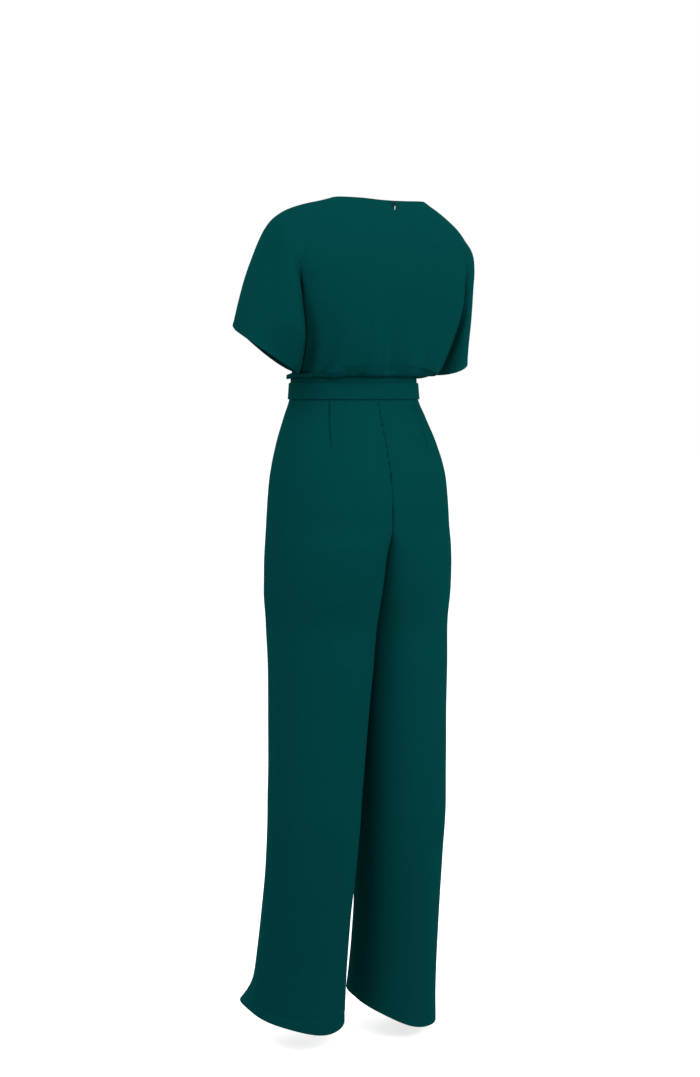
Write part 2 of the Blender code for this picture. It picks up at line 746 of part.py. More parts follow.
def add_pull_tab(material, parts, cutters):
    """Flat tab that hangs from the slider's bridge by an eye; its origin is on the pivot's axis."""
    frame = slider_frame()
    pivot = Matrix.Translation((0, BRIDGE_Y * MM, (SEAM_GAP + SLIDER_PLATE + PIVOT_RISE) * MM))
    tilt = Matrix.Rotation(math.radians(-TAB_TILT), 4, "X")
    place = frame @ pivot @ tilt
    half = TAB_WIDTH / 2
    start = TAB_EYE_RADIUS - TAB_ROOT
    end = TAB_LENGTH - half
    outline = [(-half * TAB_SHOULDER, start), (-half, start + TAB_SHOULDER_LENGTH)]
    for i in range(ROUND_SEGMENTS // 2 + 1):
        turn = math.pi * (1 - i / (ROUND_SEGMENTS // 2))
        outline.append((half * math.cos(turn), end + half * math.sin(turn)))
    outline += [(half, start + TAB_SHOULDER_LENGTH), (half * TAB_SHOULDER, start)]
    tab = extruded_outline("zip_pull_tab", outline[::-1], [], TAB_THICKNESS, place, material, parts)
    # the eye's outline is seen along the pivot: its x runs down the tab and its y outward
    sideways = place @ Matrix(((0, 0, 1, 0), (1, 0, 0, 0), (0, 1, 0, 0), (0, 0, 0, 1)))
    eye = extruded_outline("tab_eye", circle(TAB_EYE_RADIUS, 0, 0), [circle(TAB_HOLE_RADIUS, 0, 0)],
                           TAB_EYE_WIDTH, sideways, material, cutters)
    unite(tab, eye)
    return tab


# ---------------------------------------------------------------- the garment

def add_zip_chain(tape, parts):
    """Chain and tapes behind the centre back seam, from the slider to below the waist."""
    rows = []
    for side in (1, -1):
        bodice = bodice_half(side, True)[0]
        band = []
        for z in WAISTBAND_ROWS[1:]:
            turns = [math.pi / 2 - side * share * math.pi / 4 for share in seam_shares(BODY_COLUMNS)]
            band.append([waist_point(turn, z, 0.0) for turn in turns])
        rows.append(bodice + band + trouser_grid(side, True)[1:WAIST_TO_SEAT_ROWS + 1])
    add_shell("zip_chain", [mirrored(zip_grid(*rows))], ZIP_THICKNESS, tape, parts)


def add_bodice(crepe, parts):
    for side, word in ((1, "left"), (-1, "right")):
        grids = bodice_half(side, True)
        if side > 0:
            grids = [mirrored(grid) for grid in grids]
        add_shell("bodice_back_" + word, grids, CLOTH_THICKNESS, crepe, parts)
    left_body, left_sleeve = bodice_half(1, False)
    right_body, right_sleeve = bodice_half(-1, False)
    grids = [left_body, left_sleeve, mirrored(right_body), mirrored(right_sleeve)]
    add_shell("bodice_front", grids, CLOTH_THICKNESS, crepe, parts)


def add_trousers(crepe, parts):
    for side, word in ((1, "left"), (-1, "right")):
        for back, end in ((True, "back"), (False, "front")):
            grid = trouser_grid(side, back)
            if (side > 0) == back:
                grid = mirrored(grid)
            add_shell("trouser_" + end + "_" + word, [grid], CLOTH_THICKNESS, crepe, parts)


def add_waistband(crepe, parts):
    """Band round the waist, open at the centre back for the zip."""
    grid = []
    for z in WAISTBAND_ROWS:
        opening = HALF_GAP / trouser_value(z, "width")
        shares = seam_shares(RING_CELLS)
        turns = [blend(math.pi / 2 + opening, math.pi * 5 / 2 - opening, share) for share in shares]
        grid.append([waist_point(turn, z, 0.0) for turn in turns])
    add_shell("waistband", [grid], CLOTH_THICKNESS, crepe, parts)


def add_belt(crepe, parts):
    """Belt over the waistband: once round from the front, then over its own start."""
    start = math.radians(270 - BELT_LAP / 2)
    turn_total = math.radians(360 + BELT_LAP)
    grid = []
    for i in range(BELT_ROWS + 1):
        z = BELT_TOP - BELT_HEIGHT * i / BELT_ROWS
        row = []
        for j in range(BELT_CELLS + 1):
            share = j / BELT_CELLS
            turned = math.degrees(turn_total * share)
            climb = min(max((turned - 360 + BELT_LAP_RISE) / BELT_LAP_RISE, 0.0), 1.0)
            climb = climb * climb * (3 - 2 * climb)
            outset = BELT_CLEARANCE + BELT_THICKNESS + climb * (BELT_THICKNESS + BELT_CLEARANCE)
            row.append(waist_point(start + turn_total * share, z, outset))
        grid.append(row)
    add_shell("belt", [grid], BELT_THICKNESS, crepe, parts)


def clear_scene():
    for old in list(bpy.data.objects):
        bpy.data.objects.remove(old, do_unlink=True)


def main():
    clear_scene()
    parts = bpy.data.collections.new("Jumpsuit")
    cutters = bpy.data.collections.new("Cutters")
    bpy.context.scene.collection.children.link(parts)
    bpy.context.scene.collection.children.link(cutters)
    crepe = make_material("green_crepe", (0.001, 0.053, 0.049), 0.7)
    tape = make_material("green_zip_tape", (0.001, 0.035, 0.033), 0.8)
    metal = make_material("zip_metal", (0.62, 0.6, 0.55), 0.3, 1.0)
    add_bodice(crepe, parts)
    add_waistband(crepe, parts)
    add_belt(crepe, parts)
    add_trousers(crepe, parts)
    add_zip_chain(tape, parts)
    add_slider(metal, parts, cutters)
    add_pull_tab(metal, parts, cutters)


main()
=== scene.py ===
"""Finish of a worn crepe jumpsuit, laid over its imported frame.

Every cloth piece is drawn again as a thin shell on its solid's form, from the same named sizes, with
its seams, darts, hems, gathers and soft creases. Tables are in millimetres, as in the solids' source.
"""

import json
import math

import bmesh
import bpy
import numpy as np
from mathutils import Matrix, Vector, kdtree


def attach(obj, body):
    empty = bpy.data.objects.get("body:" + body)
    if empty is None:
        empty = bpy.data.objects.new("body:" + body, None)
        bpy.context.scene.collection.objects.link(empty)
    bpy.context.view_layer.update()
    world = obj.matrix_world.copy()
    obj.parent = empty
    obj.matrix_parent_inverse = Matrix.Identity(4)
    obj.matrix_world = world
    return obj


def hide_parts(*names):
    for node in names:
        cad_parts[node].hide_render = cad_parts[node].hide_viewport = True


MM = 0.001
WELD = 0.00001               # metres
TINY = 1e-9
HAIR = 0.0004                # shares and rows that lie closer are one
SIDES = ((1, "left"), (-1, "right"))

# cloth
SHELL = 0.9
HALF_GAP = -0.03             # of a sewn seam, drawn closed

# heights of the main seams and edges
WAISTBAND_TOP = -320.0
WAISTBAND_MIDDLE = -340.0
WAISTBAND_BOTTOM = -360.5
TROUSER_TOP = -360.8
BELT_TOP = -330.0
BELT_BOTTOM = -360.0
BELT_CLEARANCE = 0.6
BELT_THICKNESS = 2.4
SEAT_TOP = -575.0
CROTCH = -660.0
HEM_START = -1200.0
HEM = -1494.0

# section of the trousers at each height: axis shift, half width, depths, and the legs' inner corners
TROUSER_COLUMNS = ("z", "x", "y", "width", "back", "front", "inner", "corner_x", "corner_y")
TROUSER_TABLE = (
    (-320, 23, -60, 119.5, 98, 89, 0, 20, 20),
    (-357, 23, -60, 122, 102, 91, 0, 20, 20),
    (-390, 22, -60, 134, 114, 93, 0, 20, 20),
    (-440, 19, -60, 153, 130, 98, 0, 20, 20),
    (-506, 17, -60, 169, 147, 102, 0, 20, 20),
    (-565, 17, -60, 174, 154, 104, 0, 22, 22),
    (-619, 17, -60, 177, 153, 104, 0, 26, 26),
    (-667, 17, -60, 179, 148, 103, 0, 32, 34),
    (-706, 17, -61, 179, 142, 102, 0, 38, 42),
    (-767, 16, -64, 175, 130, 98, 1, 46, 50),
    (-845, 17, -57, 173, 120, 95, 2, 55, 62),
    (-935, 19, -53, 172, 112, 93, 4, 62, 76),
    (-1029, 21, -48, 172, 105, 91, 7, 70, 88),
    (-1105, 22, -47, 173, 101, 90, 10, 74, 94),
    (-1212, 22, -58, 172, 99, 90, 12, 76, 97),
    (-1315, 22, -76, 174, 98, 91, 13, 77, 98),
    (-1393, 22, -91, 177, 98, 93, 13, 78, 98),
    (-1447, 22, -101, 180, 99, 97, 12, 79, 99),
    (-1494, 22, -108, 184, 100, 104, 11, 80, 100),
)
# how much further the lower legs hang apart than their solids do
APART_COLUMNS = ("z", "left", "right")
LEG_APART = (
    (-1100, 0.0, 0.0),
    (-1180, 0.8, 1.2),
    (-1250, 2.2, 4.0),
    (-1330, 3.6, 9.0),
    (-1400, 3.2, 11.0),
    (-1470, 3.0, 13.0),
    (-1560, 3.0, 14.0),
)
# by side (1 is the wearer's left): how far each hem lies below HEM, more at its back, more at its outer side
HEM_DROP = {1: (14, 9, -8), -1: (26, 9, 24)}
# the lowest point of each back hem: its share of the way round, its half width and its drop
HEM_POINT = {1: (0.47, 0.17, 7.0), -1: (0.5, 0.17, 7.0)}
# the left hem's kick over the foot: its top, how far it stands out, and where it lies round the leg
FLARE_TOP = -1420.0
FLARE_DEPTH = 22.0
FLARE_TURN = 48.0
FLARE_SPREAD = 24.0

# rows of the bodice: 0 at the neckline, 1 at the sleeve hems and underarms, LAST_ROW at the waist seam
LAST_ROW = 1.5
CENTRE_COLUMNS = ("row", "x", "back_y", "back_z", "front_y", "front_z")
CENTRE_LINE = (
    (0.00, 0, 60, -9, -74, -44),
    (0.15, 8, 79, -52, -102, -84),
    (0.30, 15, 88, -98, -120, -124),
    (0.45, 20, 91, -145, -128, -164),
    (0.60, 24, 89, -186, -130, -198),
    (0.80, 27, 81, -240, -134, -244),
    (1.00, 28, 70, -290, -146, -290),
    (1.20, 27, 61, -314, -156, -314),
    (1.35, 25, 51, -324.5, -158, -325.5),
    (1.50, 23, 38, -319.7, -149, -319.7),
)
# the valley between body and sleeve, from the neckline to the underarm, then the side of the waist
VALLEY_COLUMNS = ("row", "x", "back_y", "front_y", "z", "crease")
VALLEY_LEFT = (
    (0.00, 62, 42, -46, -4, 0),
    (0.15, 108, 52, -70, -38, 0),
    (0.30, 148, 54, -86, -84, 0.1),
    (0.45, 172, 42, -96, -128, 0.5),
    (0.60, 166, 28, -98, -180, 0.9),
    (0.80, 151, 8, -84, -248, 1),
    (1.00, 143, -38, -38, -313.5, 1),
    (1.20, 150, -52, -52, -320.5, 1),
    (1.35, 149, -59, -59, -326.5, 1),
    (1.50, 142.5, -60, -60, -319.7, 1),
)
VALLEY_RIGHT = (
    (0.00, 62, 42, -46, -6, 0),
    (0.15, 98, 52, -72, -42, 0),
    (0.30, 134, 54, -90, -88, 0.1),
    (0.45, 156, 40, -100, -132, 0.5),
    (0.60, 160, 16, -100, -184, 0.9),
    (0.80, 150, -12, -88, -250, 1),
    (1.00, 132, -42, -42, -315, 1),
    (1.20, 127, -52, -52, -322, 1),
    (1.35, 114, -57, -57, -326.5, 1),
    (1.50, 96.5, -60, -60, -319.7, 1),
)
# the ridge over shoulder and arm, from the neck point to the sleeve's outer hem corner
RIDGE_COLUMNS = ("row", "x", "y", "z")
RIDGE_LEFT = (
    (0.00, 87, 0, 0),
    (0.10, 113, -6, -7),
    (0.20, 143, -15, -14),
    (0.28, 172, -26, -25),
    (0.35, 193, -35, -42),
    (0.45, 205, -42, -66),
    (0.55, 218, -45, -98),
    (0.70, 235, -46, -144),
    (0.85, 249, -46, -192),
    (1.00, 261, -46, -238),
)
RIDGE_RIGHT = (
    (0.00, 86, 0, -3),
    (0.10, 109, -7, -15),
    (0.20, 131, -14, -27),
    (0.28, 152, -22, -40),
    (0.35, 169, -30, -56),
    (0.45, 190, -38, -76),
    (0.55, 199, -45, -106),
    (0.70, 198, -48, -164),
    (0.85, 197, -50, -230),
    (1.00, 196, -50, -285),
)
# how far the sleeve stands out behind and before its ridge, and how far its hem hangs between its corners
SLEEVE_COLUMNS = ("row", "left_back", "left_front", "left_back_sag", "left_front_sag",
                  "right_back", "right_front", "right_back_sag", "right_front_sag")
SLEEVE = (
    (0.00, 6, 6, 0, 0, 6, 6, 0, 0),
    (0.15, 18, 20, 0, 0, 18, 20, 0, 0),
    (0.30, 34, 34, 0, 0, 30, 38, 0, 0),
    (0.45, 52, 48, 0, -2, 42, 56, 0, -2),
    (0.60, 66, 62, 4, -8, 46, 70, 4, -8),
    (0.80, 78, 72, 12, -20, 60, 80, 8, -16),
    (1.00, 84, 76, 26, -40, 68, 84, 12, -26),
)
# folds of the blouson above the waist: share of the way from the centre to the side, width, height
FOLDS_LEFT = (
    (0.16, 0.05, -2.5),
    (0.30, 0.06, 2.0),
    (0.43, 0.06, 4.0),
    (0.57, 0.05, -4.5),
    (0.72, 0.07, 3.5),
    (0.88, 0.05, -2.0),
)
FOLDS_RIGHT = (
    (0.15, 0.05, -2.0),
    (0.30, 0.07, 3.0),
    (0.47, 0.05, -3.0),
    (0.63, 0.07, 3.0),
    (0.80, 0.06, -2.5),
)
FOLD_TOP_ROW = 0.7
FOLD_SAG = 0.6               # how much a fold hangs, for each unit that it stands out
FOLD_SAG_ROW = 0.9
FOLD_SAG_REACH = 0.3
# how much higher the blouson's lower edge hangs than in the solids, by share of the way from the centre
# line to the side; the front's is the same on both sides
LIFT_LEFT = ((0.0, 6.0), (0.12, 6.0), (0.22, 8.0), (0.36, 7.0), (0.5, 4.5), (0.66, 6.5), (0.82, 7.0),
             (1.0, 6.0))
LIFT_RIGHT = ((0.0, 6.0), (0.12, 6.0), (0.25, 8.0), (0.42, 7.0), (0.6, 8.5), (0.8, 8.0), (0.93, 7.0),
              (1.0, 6.0))
LIFT_FRONT = ((0.0, 3.0), (0.3, 5.0), (0.5, 3.5), (0.8, 5.5), (1.0, 6.0))
LIFT_ROW = 1.05              # where it starts; it ends at the waist seam
LIFT_POWER = 0.7             # below 1 it stays near its full height for longer
# the side seam's half gap, and the wider one at its top, the underarm, with its reach in rows
SIDE_GAP = 0.1
UNDERARM_GAP = 0.3
UNDERARM_REACH = 0.5
ROUNDNESS = 0.5523           # handle length that makes a cubic curve a quarter ellipse
SHOULDER_PULL = 0.22         # handle length over the shoulder, where body and sleeve run into each other
CREASE_OUT = 0.2             # how far the sleeve leans outward as it leaves the valley
CREASE_SAG = 0.3             # share of the sleeve's sag with which it leaves the valley

# zip
ZIP_MOUTH = 1.25
ZIP_MOUTH_END = -34.0
TOOTH_PITCH = 1.4
TOOTH_RADIUS = 0.35
TOOTH_HALF_WIDTH = 1.3
TOOTH_SHIFT = 0.4            # share of that width by which the coil's turns lie off its middle
TOOTH_STRETCH = 1.4          # of a turn from front to back
TOOTH_BOTTOM = -535.0
TOOTH_INSET = 0.9            # from the tapes inward to the coil
TAPE_TOP_ROW = 0.035
TAPE_WIDTH = 10.0            # of each half
TAPE_THICKNESS = 0.5
TAPE_INSET = 2.2             # from the cloth's outer face
TAPE_GAP = 0.05              # from each tape's inner edge to the middle of the seam
TAPE_SHARES = (0.03, 0.1, 0.25, 0.5, 0.75, 1.0)
TAPE_ROWS = (150, 90)        # along the bodice and along the waistband and trousers

# belt, as in the solids: it runs once round from the front and laps over its own start
BELT_LAP = 50.0
BELT_LAP_RISE = 25.0
BELT_EDGE = 1.1              # how much its two edges round inward, over the width BELT_ROLL
BELT_ROLL = 1.6
BELT_STITCH = 2.6            # from each edge to the row of stitches
BELT_STITCH_DEPTH = 0.35
BELT_STITCH_WIDTH = 0.5
BELT_ROWS = (0, 0.25, 0.7, 1.3, 2.0, 2.2, 2.6, 3.0, 4.0, 8.0)   # from each edge
BELT_POINTS = 260            # along it

# finish of the panels' edges
ROLL_WIDTH = 1.6
ROLL_DEPTH = 0.4
FINE_SHARES = (0.855, 0.985)     # of the right back, where its turning edge runs
FINE_CELLS = 26
BACK_ROLL_DEPTH = 0.15       # of the bodice's back, whose centre seam hardly shows
HELD_WIDTH = 2.0             # of the trousers that leaves their middle plane only by and by
HELD_SHARE = 0.1             # of that width, where they stay on it, so that the legs meet
# rows beside each edge of the waistband: its allowance, which lies inside its neighbours, then the band
WAISTBAND_ROWS = (6.0, 1.0, -0.3, -3.0)
ALLOWANCE_INSET = 1.5
EDGE_CELLS = (0.0, 0.45, 1.0, 1.8, 3.0)
HEM_DEPTH = 20.0             # from the trouser hems up to their stitches
HEM_STITCH = 0.8             # depth of their stitches
HEM_STITCH_WIDTH = 1.3
HEM_CELLS = (2.4, 1.2, 0.0, -1.2, -2.4)
PATH_STEPS = 120             # of the curve that a row of cloth follows
LINE_STEPS = 70              # of a crease's line
ROUNDING = 4.0               # of the change between two lengths; more is sharper

# cells of the cloth
CELL = 4.0
LEG_CELL = 4.6

# sizes that set how many cells a piece has
BODICE_LENGTH = 400.0
BODY_WIDTH = 180.0
SLEEVE_WIDTH = 150.0
LEG_WIDTH = 270.0
WAIST_ROUND = 710.0
WAIST_RADIUS = 120.0
WAIST_ROWS = 46
SEAT_ROWS = 22
SEAT_SHARE = 0.12
LEG_ROWS = 180

# darts of the trousers, same on both sides: height and share of the way from centre seam to side seam
BACK_DART = ((-362, 0.505), (-410, 0.475), (-458, 0.445))
FRONT_DART = ((-362, 0.46), (-410, 0.45), (-440, 0.44))
DART_MARGIN = 0.012
DART_CELLS = 30
DART_DEPTH = 3.4
DART_WIDTH = 1.3
DART_FADE = (0.01, 0.3)

GATHER_ROW = 1.35            # the middle point of each gather above the waist seam


def gathers(*rows):
    """Creases that run down to the waist seam; rows of height, half width, fade, first row, three shares."""
    return [("body", height, width, (fade, 0.0), ((first, a), (GATHER_ROW, b), (LAST_ROW, c)))
            for height, width, fade, first, a, b, c in rows]


# creases: the part of the garment, how far each stands out, its half width, its fade at start and end,
# and its line, each point by row or height and share of the way across
CENTRE_SEAM = ("leg", -4.2, 1.9, (0.01, 0.2), ((-361, 0), (-480, 0), (-560, 0), (-600, 0), (-640, 0)))
SLEEVE_HEM = ("sleeve", -0.4, 1.2, (0.0, 0.0), ((0.963, 0.0), (0.963, 0.5), (0.963, 1.0)))
OUTSEAM = ("leg", 0.9, 2.6, (0.1, 0.05), ((-620, 0.955), (-900, 0.955), (-1200, 0.955), (-1470, 0.955)))
FRONT_VALLEY = ("body", -4.5, 2.2, (0.3, 0.05), ((0.45, 1.0), (0.6, 1.0), (0.8, 1.0), (1.0, 1.0)))
CREASES = {
    ("back", 1): (
        # valley between body and sleeve: soft over the shoulder blade, sharp further down
        ("sleeve", -2.4, 4.5, (0.8, 0.2), ((0.35, 0.36), (0.4, 0.24), (0.46, 0.1), (0.52, 0.0))),
        ("body", -5.5, 2.2, (0.3, 0.02), ((0.45, 1.0), (0.6, 1.0), (0.8, 1.0), (1.0, 1.0))),
        ("body", -3.0, 2.4, (0.2, 0.2), ((0.98, 0.97), (1.1, 0.9), (1.25, 0.86))),
        ("sleeve", 1.8, 6.0, (0.4, 0.1), ((0.5, 0.12), (0.62, 0.07), (0.8, 0.06), (0.98, 0.06))),
        ("body", -1.6, 12.0, (0.4, 0.3), ((0.6, 0.9), (0.8, 0.86), (1.0, 0.84))),
        # fold beside the centre back, which deepens towards the waist
        ("body", 5.5, 12.0, (0.6, 0.1), ((0.44, 0.07), (0.65, 0.08), (0.85, 0.095), (1.05, 0.12),
                                         (1.35, 0.14))),
        ("body", -1.6, 18.0, (0.5, 0.2), ((0.5, 0.32), (0.8, 0.36), (1.2, 0.38))),
        # gathers above the waist seam
        *gathers((-1.5, 3.0, 0.5, 1.2, 0.06, 0.055, 0.05), (1.1, 3.0, 0.5, 1.22, 0.085, 0.08, 0.078)),
        ("body", -1.6, 2.6, (0.5, 0.0), ((1.18, 0.115), (1.32, 0.11), (1.5, 0.105))),
        *gathers((1.2, 3.0, 0.5, 1.22, 0.145, 0.14, 0.14), (-1.5, 3.0, 0.5, 1.2, 0.185, 0.18, 0.17)),
        ("body", -2.2, 4.5, (0.6, 0.0), ((1.12, 0.33), (1.3, 0.315), (1.5, 0.3))),
        *gathers((-1.8, 4.0, 0.6, 1.2, 0.5, 0.49, 0.48), (-1.6, 4.0, 0.6, 1.2, 0.66, 0.65, 0.65),
                 (-1.5, 4.0, 0.6, 1.2, 0.8, 0.8, 0.8)),
        # sleeve: one soft ridge over the upper arm, and its hem's stitches
        ("sleeve", 1.6, 20.0, (0.5, 0.4), ((0.3, 0.5), (0.6, 0.45), (0.95, 0.42))),
        SLEEVE_HEM,
    ),
    ("back", -1): (
        ("body", -4.4, 9.0, (0.6, 0.12), ((0.5, 0.07), (0.8, 0.085), (1.05, 0.095), (1.3, 0.1))),
        *gathers((-1.5, 3.0, 0.5, 1.2, 0.04, 0.035, 0.03), (1.1, 3.0, 0.5, 1.22, 0.07, 0.065, 0.06),
                 (-1.6, 3.0, 0.5, 1.2, 0.11, 0.1, 0.095), (-1.4, 3.0, 0.5, 1.22, 0.17, 0.16, 0.155),
                 (-1.5, 4.0, 0.6, 1.2, 0.3, 0.29, 0.28), (-1.7, 4.0, 0.6, 1.18, 0.45, 0.43, 0.42),
                 (-1.5, 4.5, 0.6, 1.2, 0.62, 0.6, 0.6)),
        # turning edge of the body, and the hollow between it and the sleeve
        ("body", 2.4, 4.5, (0.2, 0.2), ((0.46, 0.97), (0.55, 0.94), (0.7, 0.9), (0.8, 0.88), (0.9, 0.88),
                                        (1.0, 0.8), (1.15, 0.62))),
        ("body", -2.6, 2.0, (0.2, 0.05), ((0.42, 1.0), (0.6, 1.0), (0.8, 1.0), (1.0, 1.0))),
        ("sleeve", -3.0, 9.0, (0.4, 0.2), ((0.45, 0.14), (0.6, 0.12), (0.8, 0.1), (1.0, 0.1))),
        ("sleeve", 1.4, 4.0, (0.3, 0.3), ((0.27, 0.285), (0.35, 0.12), (0.44, 0.08))),
        ("sleeve", 1.4, 14.0, (0.5, 0.4), ((0.5, 0.5), (0.7, 0.45), (0.95, 0.4))),
        SLEEVE_HEM,
    ),
    ("front", 1): (
        ("body", -1.8, 9.0, (0.6, 0.1), ((0.5, 0.25), (0.8, 0.23), (1.1, 0.2), (1.3, 0.19))),
        ("body", 2.2, 12.0, (0.6, 0.1), ((0.55, 0.4), (0.8, 0.38), (1.1, 0.34), (1.3, 0.32))),
        *gathers((-1.7, 3.0, 0.6, 1.18, 0.08, 0.075, 0.07), (-1.6, 3.2, 0.6, 1.2, 0.2, 0.19, 0.18),
                 (1.3, 4.0, 0.6, 1.2, 0.3, 0.29, 0.28), (-1.9, 3.6, 0.6, 1.15, 0.42, 0.4, 0.39),
                 (-1.7, 4.0, 0.6, 1.2, 0.58, 0.57, 0.56), (-1.5, 4.0, 0.6, 1.2, 0.76, 0.76, 0.76)),
        FRONT_VALLEY,
        ("sleeve", 1.5, 16.0, (0.5, 0.4), ((0.3, 0.5), (0.6, 0.45), (0.95, 0.42))),
        SLEEVE_HEM,
    ),
    ("front", -1): (
        ("body", -1.8, 9.0, (0.6, 0.1), ((0.5, 0.22), (0.8, 0.21), (1.1, 0.18), (1.3, 0.16))),
        ("body", 2.0, 12.0, (0.6, 0.1), ((0.6, 0.42), (0.8, 0.4), (1.1, 0.37), (1.3, 0.35))),
        *gathers((-1.6, 3.0, 0.6, 1.2, 0.06, 0.055, 0.05), (-1.8, 3.4, 0.6, 1.15, 0.17, 0.16, 0.16),
                 (-1.7, 4.0, 0.6, 1.18, 0.34, 0.33, 0.33), (1.3, 4.0, 0.6, 1.2, 0.45, 0.44, 0.44),
                 (-1.7, 4.0, 0.6, 1.2, 0.6, 0.6, 0.6)),
        FRONT_VALLEY,
        ("sleeve", 1.5, 16.0, (0.5, 0.4), ((0.4, 0.5), (0.7, 0.46), (0.95, 0.44))),
        SLEEVE_HEM,
    ),
    ("leg_back", 1): (
        CENTRE_SEAM,
        # past the dart's tip the cloth kinks softly outward
        ("leg", -0.8, 2.2, (0.2, 0.8), ((-455, 0.447), (-468, 0.42), (-486, 0.385))),
        ("leg", 0.9, 8.0, (0.5, 0.6), ((-430, 0.49), (-465, 0.47), (-505, 0.45))),
        ("leg", 0.9, 9.0, (0.5, 0.6), ((-450, 0.36), (-485, 0.34), (-530, 0.33))),
        # pressed outseam and two long soft waves below the knee
        OUTSEAM,
        ("leg", -1.6, 26.0, (0.5, 0.2), ((-760, 0.62), (-1000, 0.58), (-1250, 0.55), (-1480, 0.54))),
        ("leg", 1.8, 24.0, (0.5, 0.1), ((-820, 0.36), (-1050, 0.34), (-1300, 0.33), (-1490, 0.33))),
        ("leg", -1.2, 20.0, (0.4, 0.5), ((-600, 0.3), (-700, 0.42), (-820, 0.5))),
    ),
    ("leg_back", -1): (
        CENTRE_SEAM,
        ("leg", -0.6, 2.2, (0.2, 0.8), ((-455, 0.447), (-468, 0.42), (-484, 0.39))),
        ("leg", 1.2, 7.0, (0.4, 0.5), ((-385, 0.66), (-440, 0.68), (-500, 0.7), (-560, 0.7))),
        # thin crease beside the left leg, and soft waves
        ("leg", -1.5, 1.8, (0.3, 0.3), ((-990, 0.1), (-1100, 0.09), (-1200, 0.11), (-1260, 0.135),
                                        (-1340, 0.18))),
        ("leg", -2.4, 22.0, (0.4, 0.4), ((-650, 0.3), (-760, 0.3), (-900, 0.29), (-1100, 0.27))),
        ("leg", 2.0, 24.0, (0.5, 0.1), ((-800, 0.5), (-1050, 0.5), (-1300, 0.5), (-1500, 0.5))),
        ("leg", -1.5, 22.0, (0.5, 0.1), ((-850, 0.72), (-1100, 0.72), (-1350, 0.71), (-1500, 0.71))),
        OUTSEAM,
    ),
    ("leg_front", 1): (
        CENTRE_SEAM,
        ("leg", -2.0, 14.0, (0.3, 0.7), ((-560, 0.12), (-600, 0.28), (-640, 0.42))),
        ("leg", 1.2, 9.0, (0.3, 0.7), ((-590, 0.1), (-625, 0.24), (-670, 0.36))),
        ("leg", -1.8, 26.0, (0.5, 0.1), ((-700, 0.62), (-1000, 0.6), (-1300, 0.58), (-1490, 0.58))),
        ("leg", 2.2, 26.0, (0.5, 0.1), ((-760, 0.4), (-1000, 0.38), (-1300, 0.37), (-1490, 0.37))),
        OUTSEAM,
        # break of the hem over the foot
        ("leg", -1.6, 12.0, (0.4, 0.4), ((-1385, 0.35), (-1395, 0.5), (-1392, 0.68))),
    ),
    ("leg_front", -1): (
        CENTRE_SEAM,
        ("leg", -1.8, 14.0, (0.3, 0.7), ((-555, 0.12), (-592, 0.26), (-632, 0.4))),
        ("leg", 1.2, 9.0, (0.3, 0.7), ((-585, 0.1), (-618, 0.22), (-660, 0.34))),
        ("leg", -1.8, 26.0, (0.5, 0.1), ((-720, 0.6), (-1000, 0.6), (-1300, 0.6), (-1500, 0.6))),
        ("leg", 2.2, 26.0, (0.5, 0.1), ((-760, 0.38), (-1000, 0.38), (-1300, 0.4), (-1500, 0.4))),
        OUTSEAM,
    ),
}

# colours, linear: the two that each material goes between
CREPE = ((0.0006, 0.044, 0.0455), (0.0012, 0.052, 0.0535))
SHEEN = (0.05, 0.75, 0.7)
TAPE = ((0.0004, 0.02, 0.019), (0.001, 0.036, 0.033))
PAINT = ((0.002, 0.028, 0.027), (0.004, 0.045, 0.043))
# pull tab: its dark paint, and the bright metal of its painted highlight
TAB_PAINT_AND_HIGHLIGHT = ((0.006, 0.045, 0.043), (0.55, 0.62, 0.6))
PALE = ((0.93, 0.93, 0.93), (0.95, 0.95, 0.95))
RAMP = (0.3, 0.7)            # where a noise starts and ends to go from one to the other
# where the pull tab's factor goes from its dark paint to its painted highlight
HIGHLIGHT_RAMP = (0.35, 0.95)

# the pull tab's painted highlight: the heights where it starts and is full, its half width, metres, and the
# weight of the noise patches in it
HIGHLIGHT_START = -0.0175
HIGHLIGHT_END = -0.0205
HIGHLIGHT_HALF_WIDTH = 0.0015
HIGHLIGHT_PATCHES = 0.3

# camera and studio, metres
CAMERA_PLACE = (1.5080, 3.1094, -0.3610)
CAMERA_PITCH = 4.165
CAMERA_TURN = 155.0
CAMERA_LENS = 63.58          # millimetres, on a sensor of CAMERA_SENSOR
CAMERA_SENSOR = 36.0
CAMERA_NEAR = 0.02
WALL_BRIGHTNESS = 1.0
ROOM_LIGHT = 0.57
LIGHT_AIM = (0.0, 0.0, -0.5)
LIGHTS = (
    ("key", (2.13, 0.57, 1.8), (1.4, 1.4), 36.0),
    ("back", (-0.23, 2.59, 0.5), (1.4, 1.4), 35.0),
    ("side", (-2.1, 1.2, 0.3), (1.4, 1.4), 15.0),
    ("front", (0.52, -2.95, 0.6), (1.4, 1.4), 25.0),
)
FLOOR = -1.565
FLOOR_SIZE = 60.0
FLOOR_GLOW = 0.7


# ---------------------------------------------------------------- curves

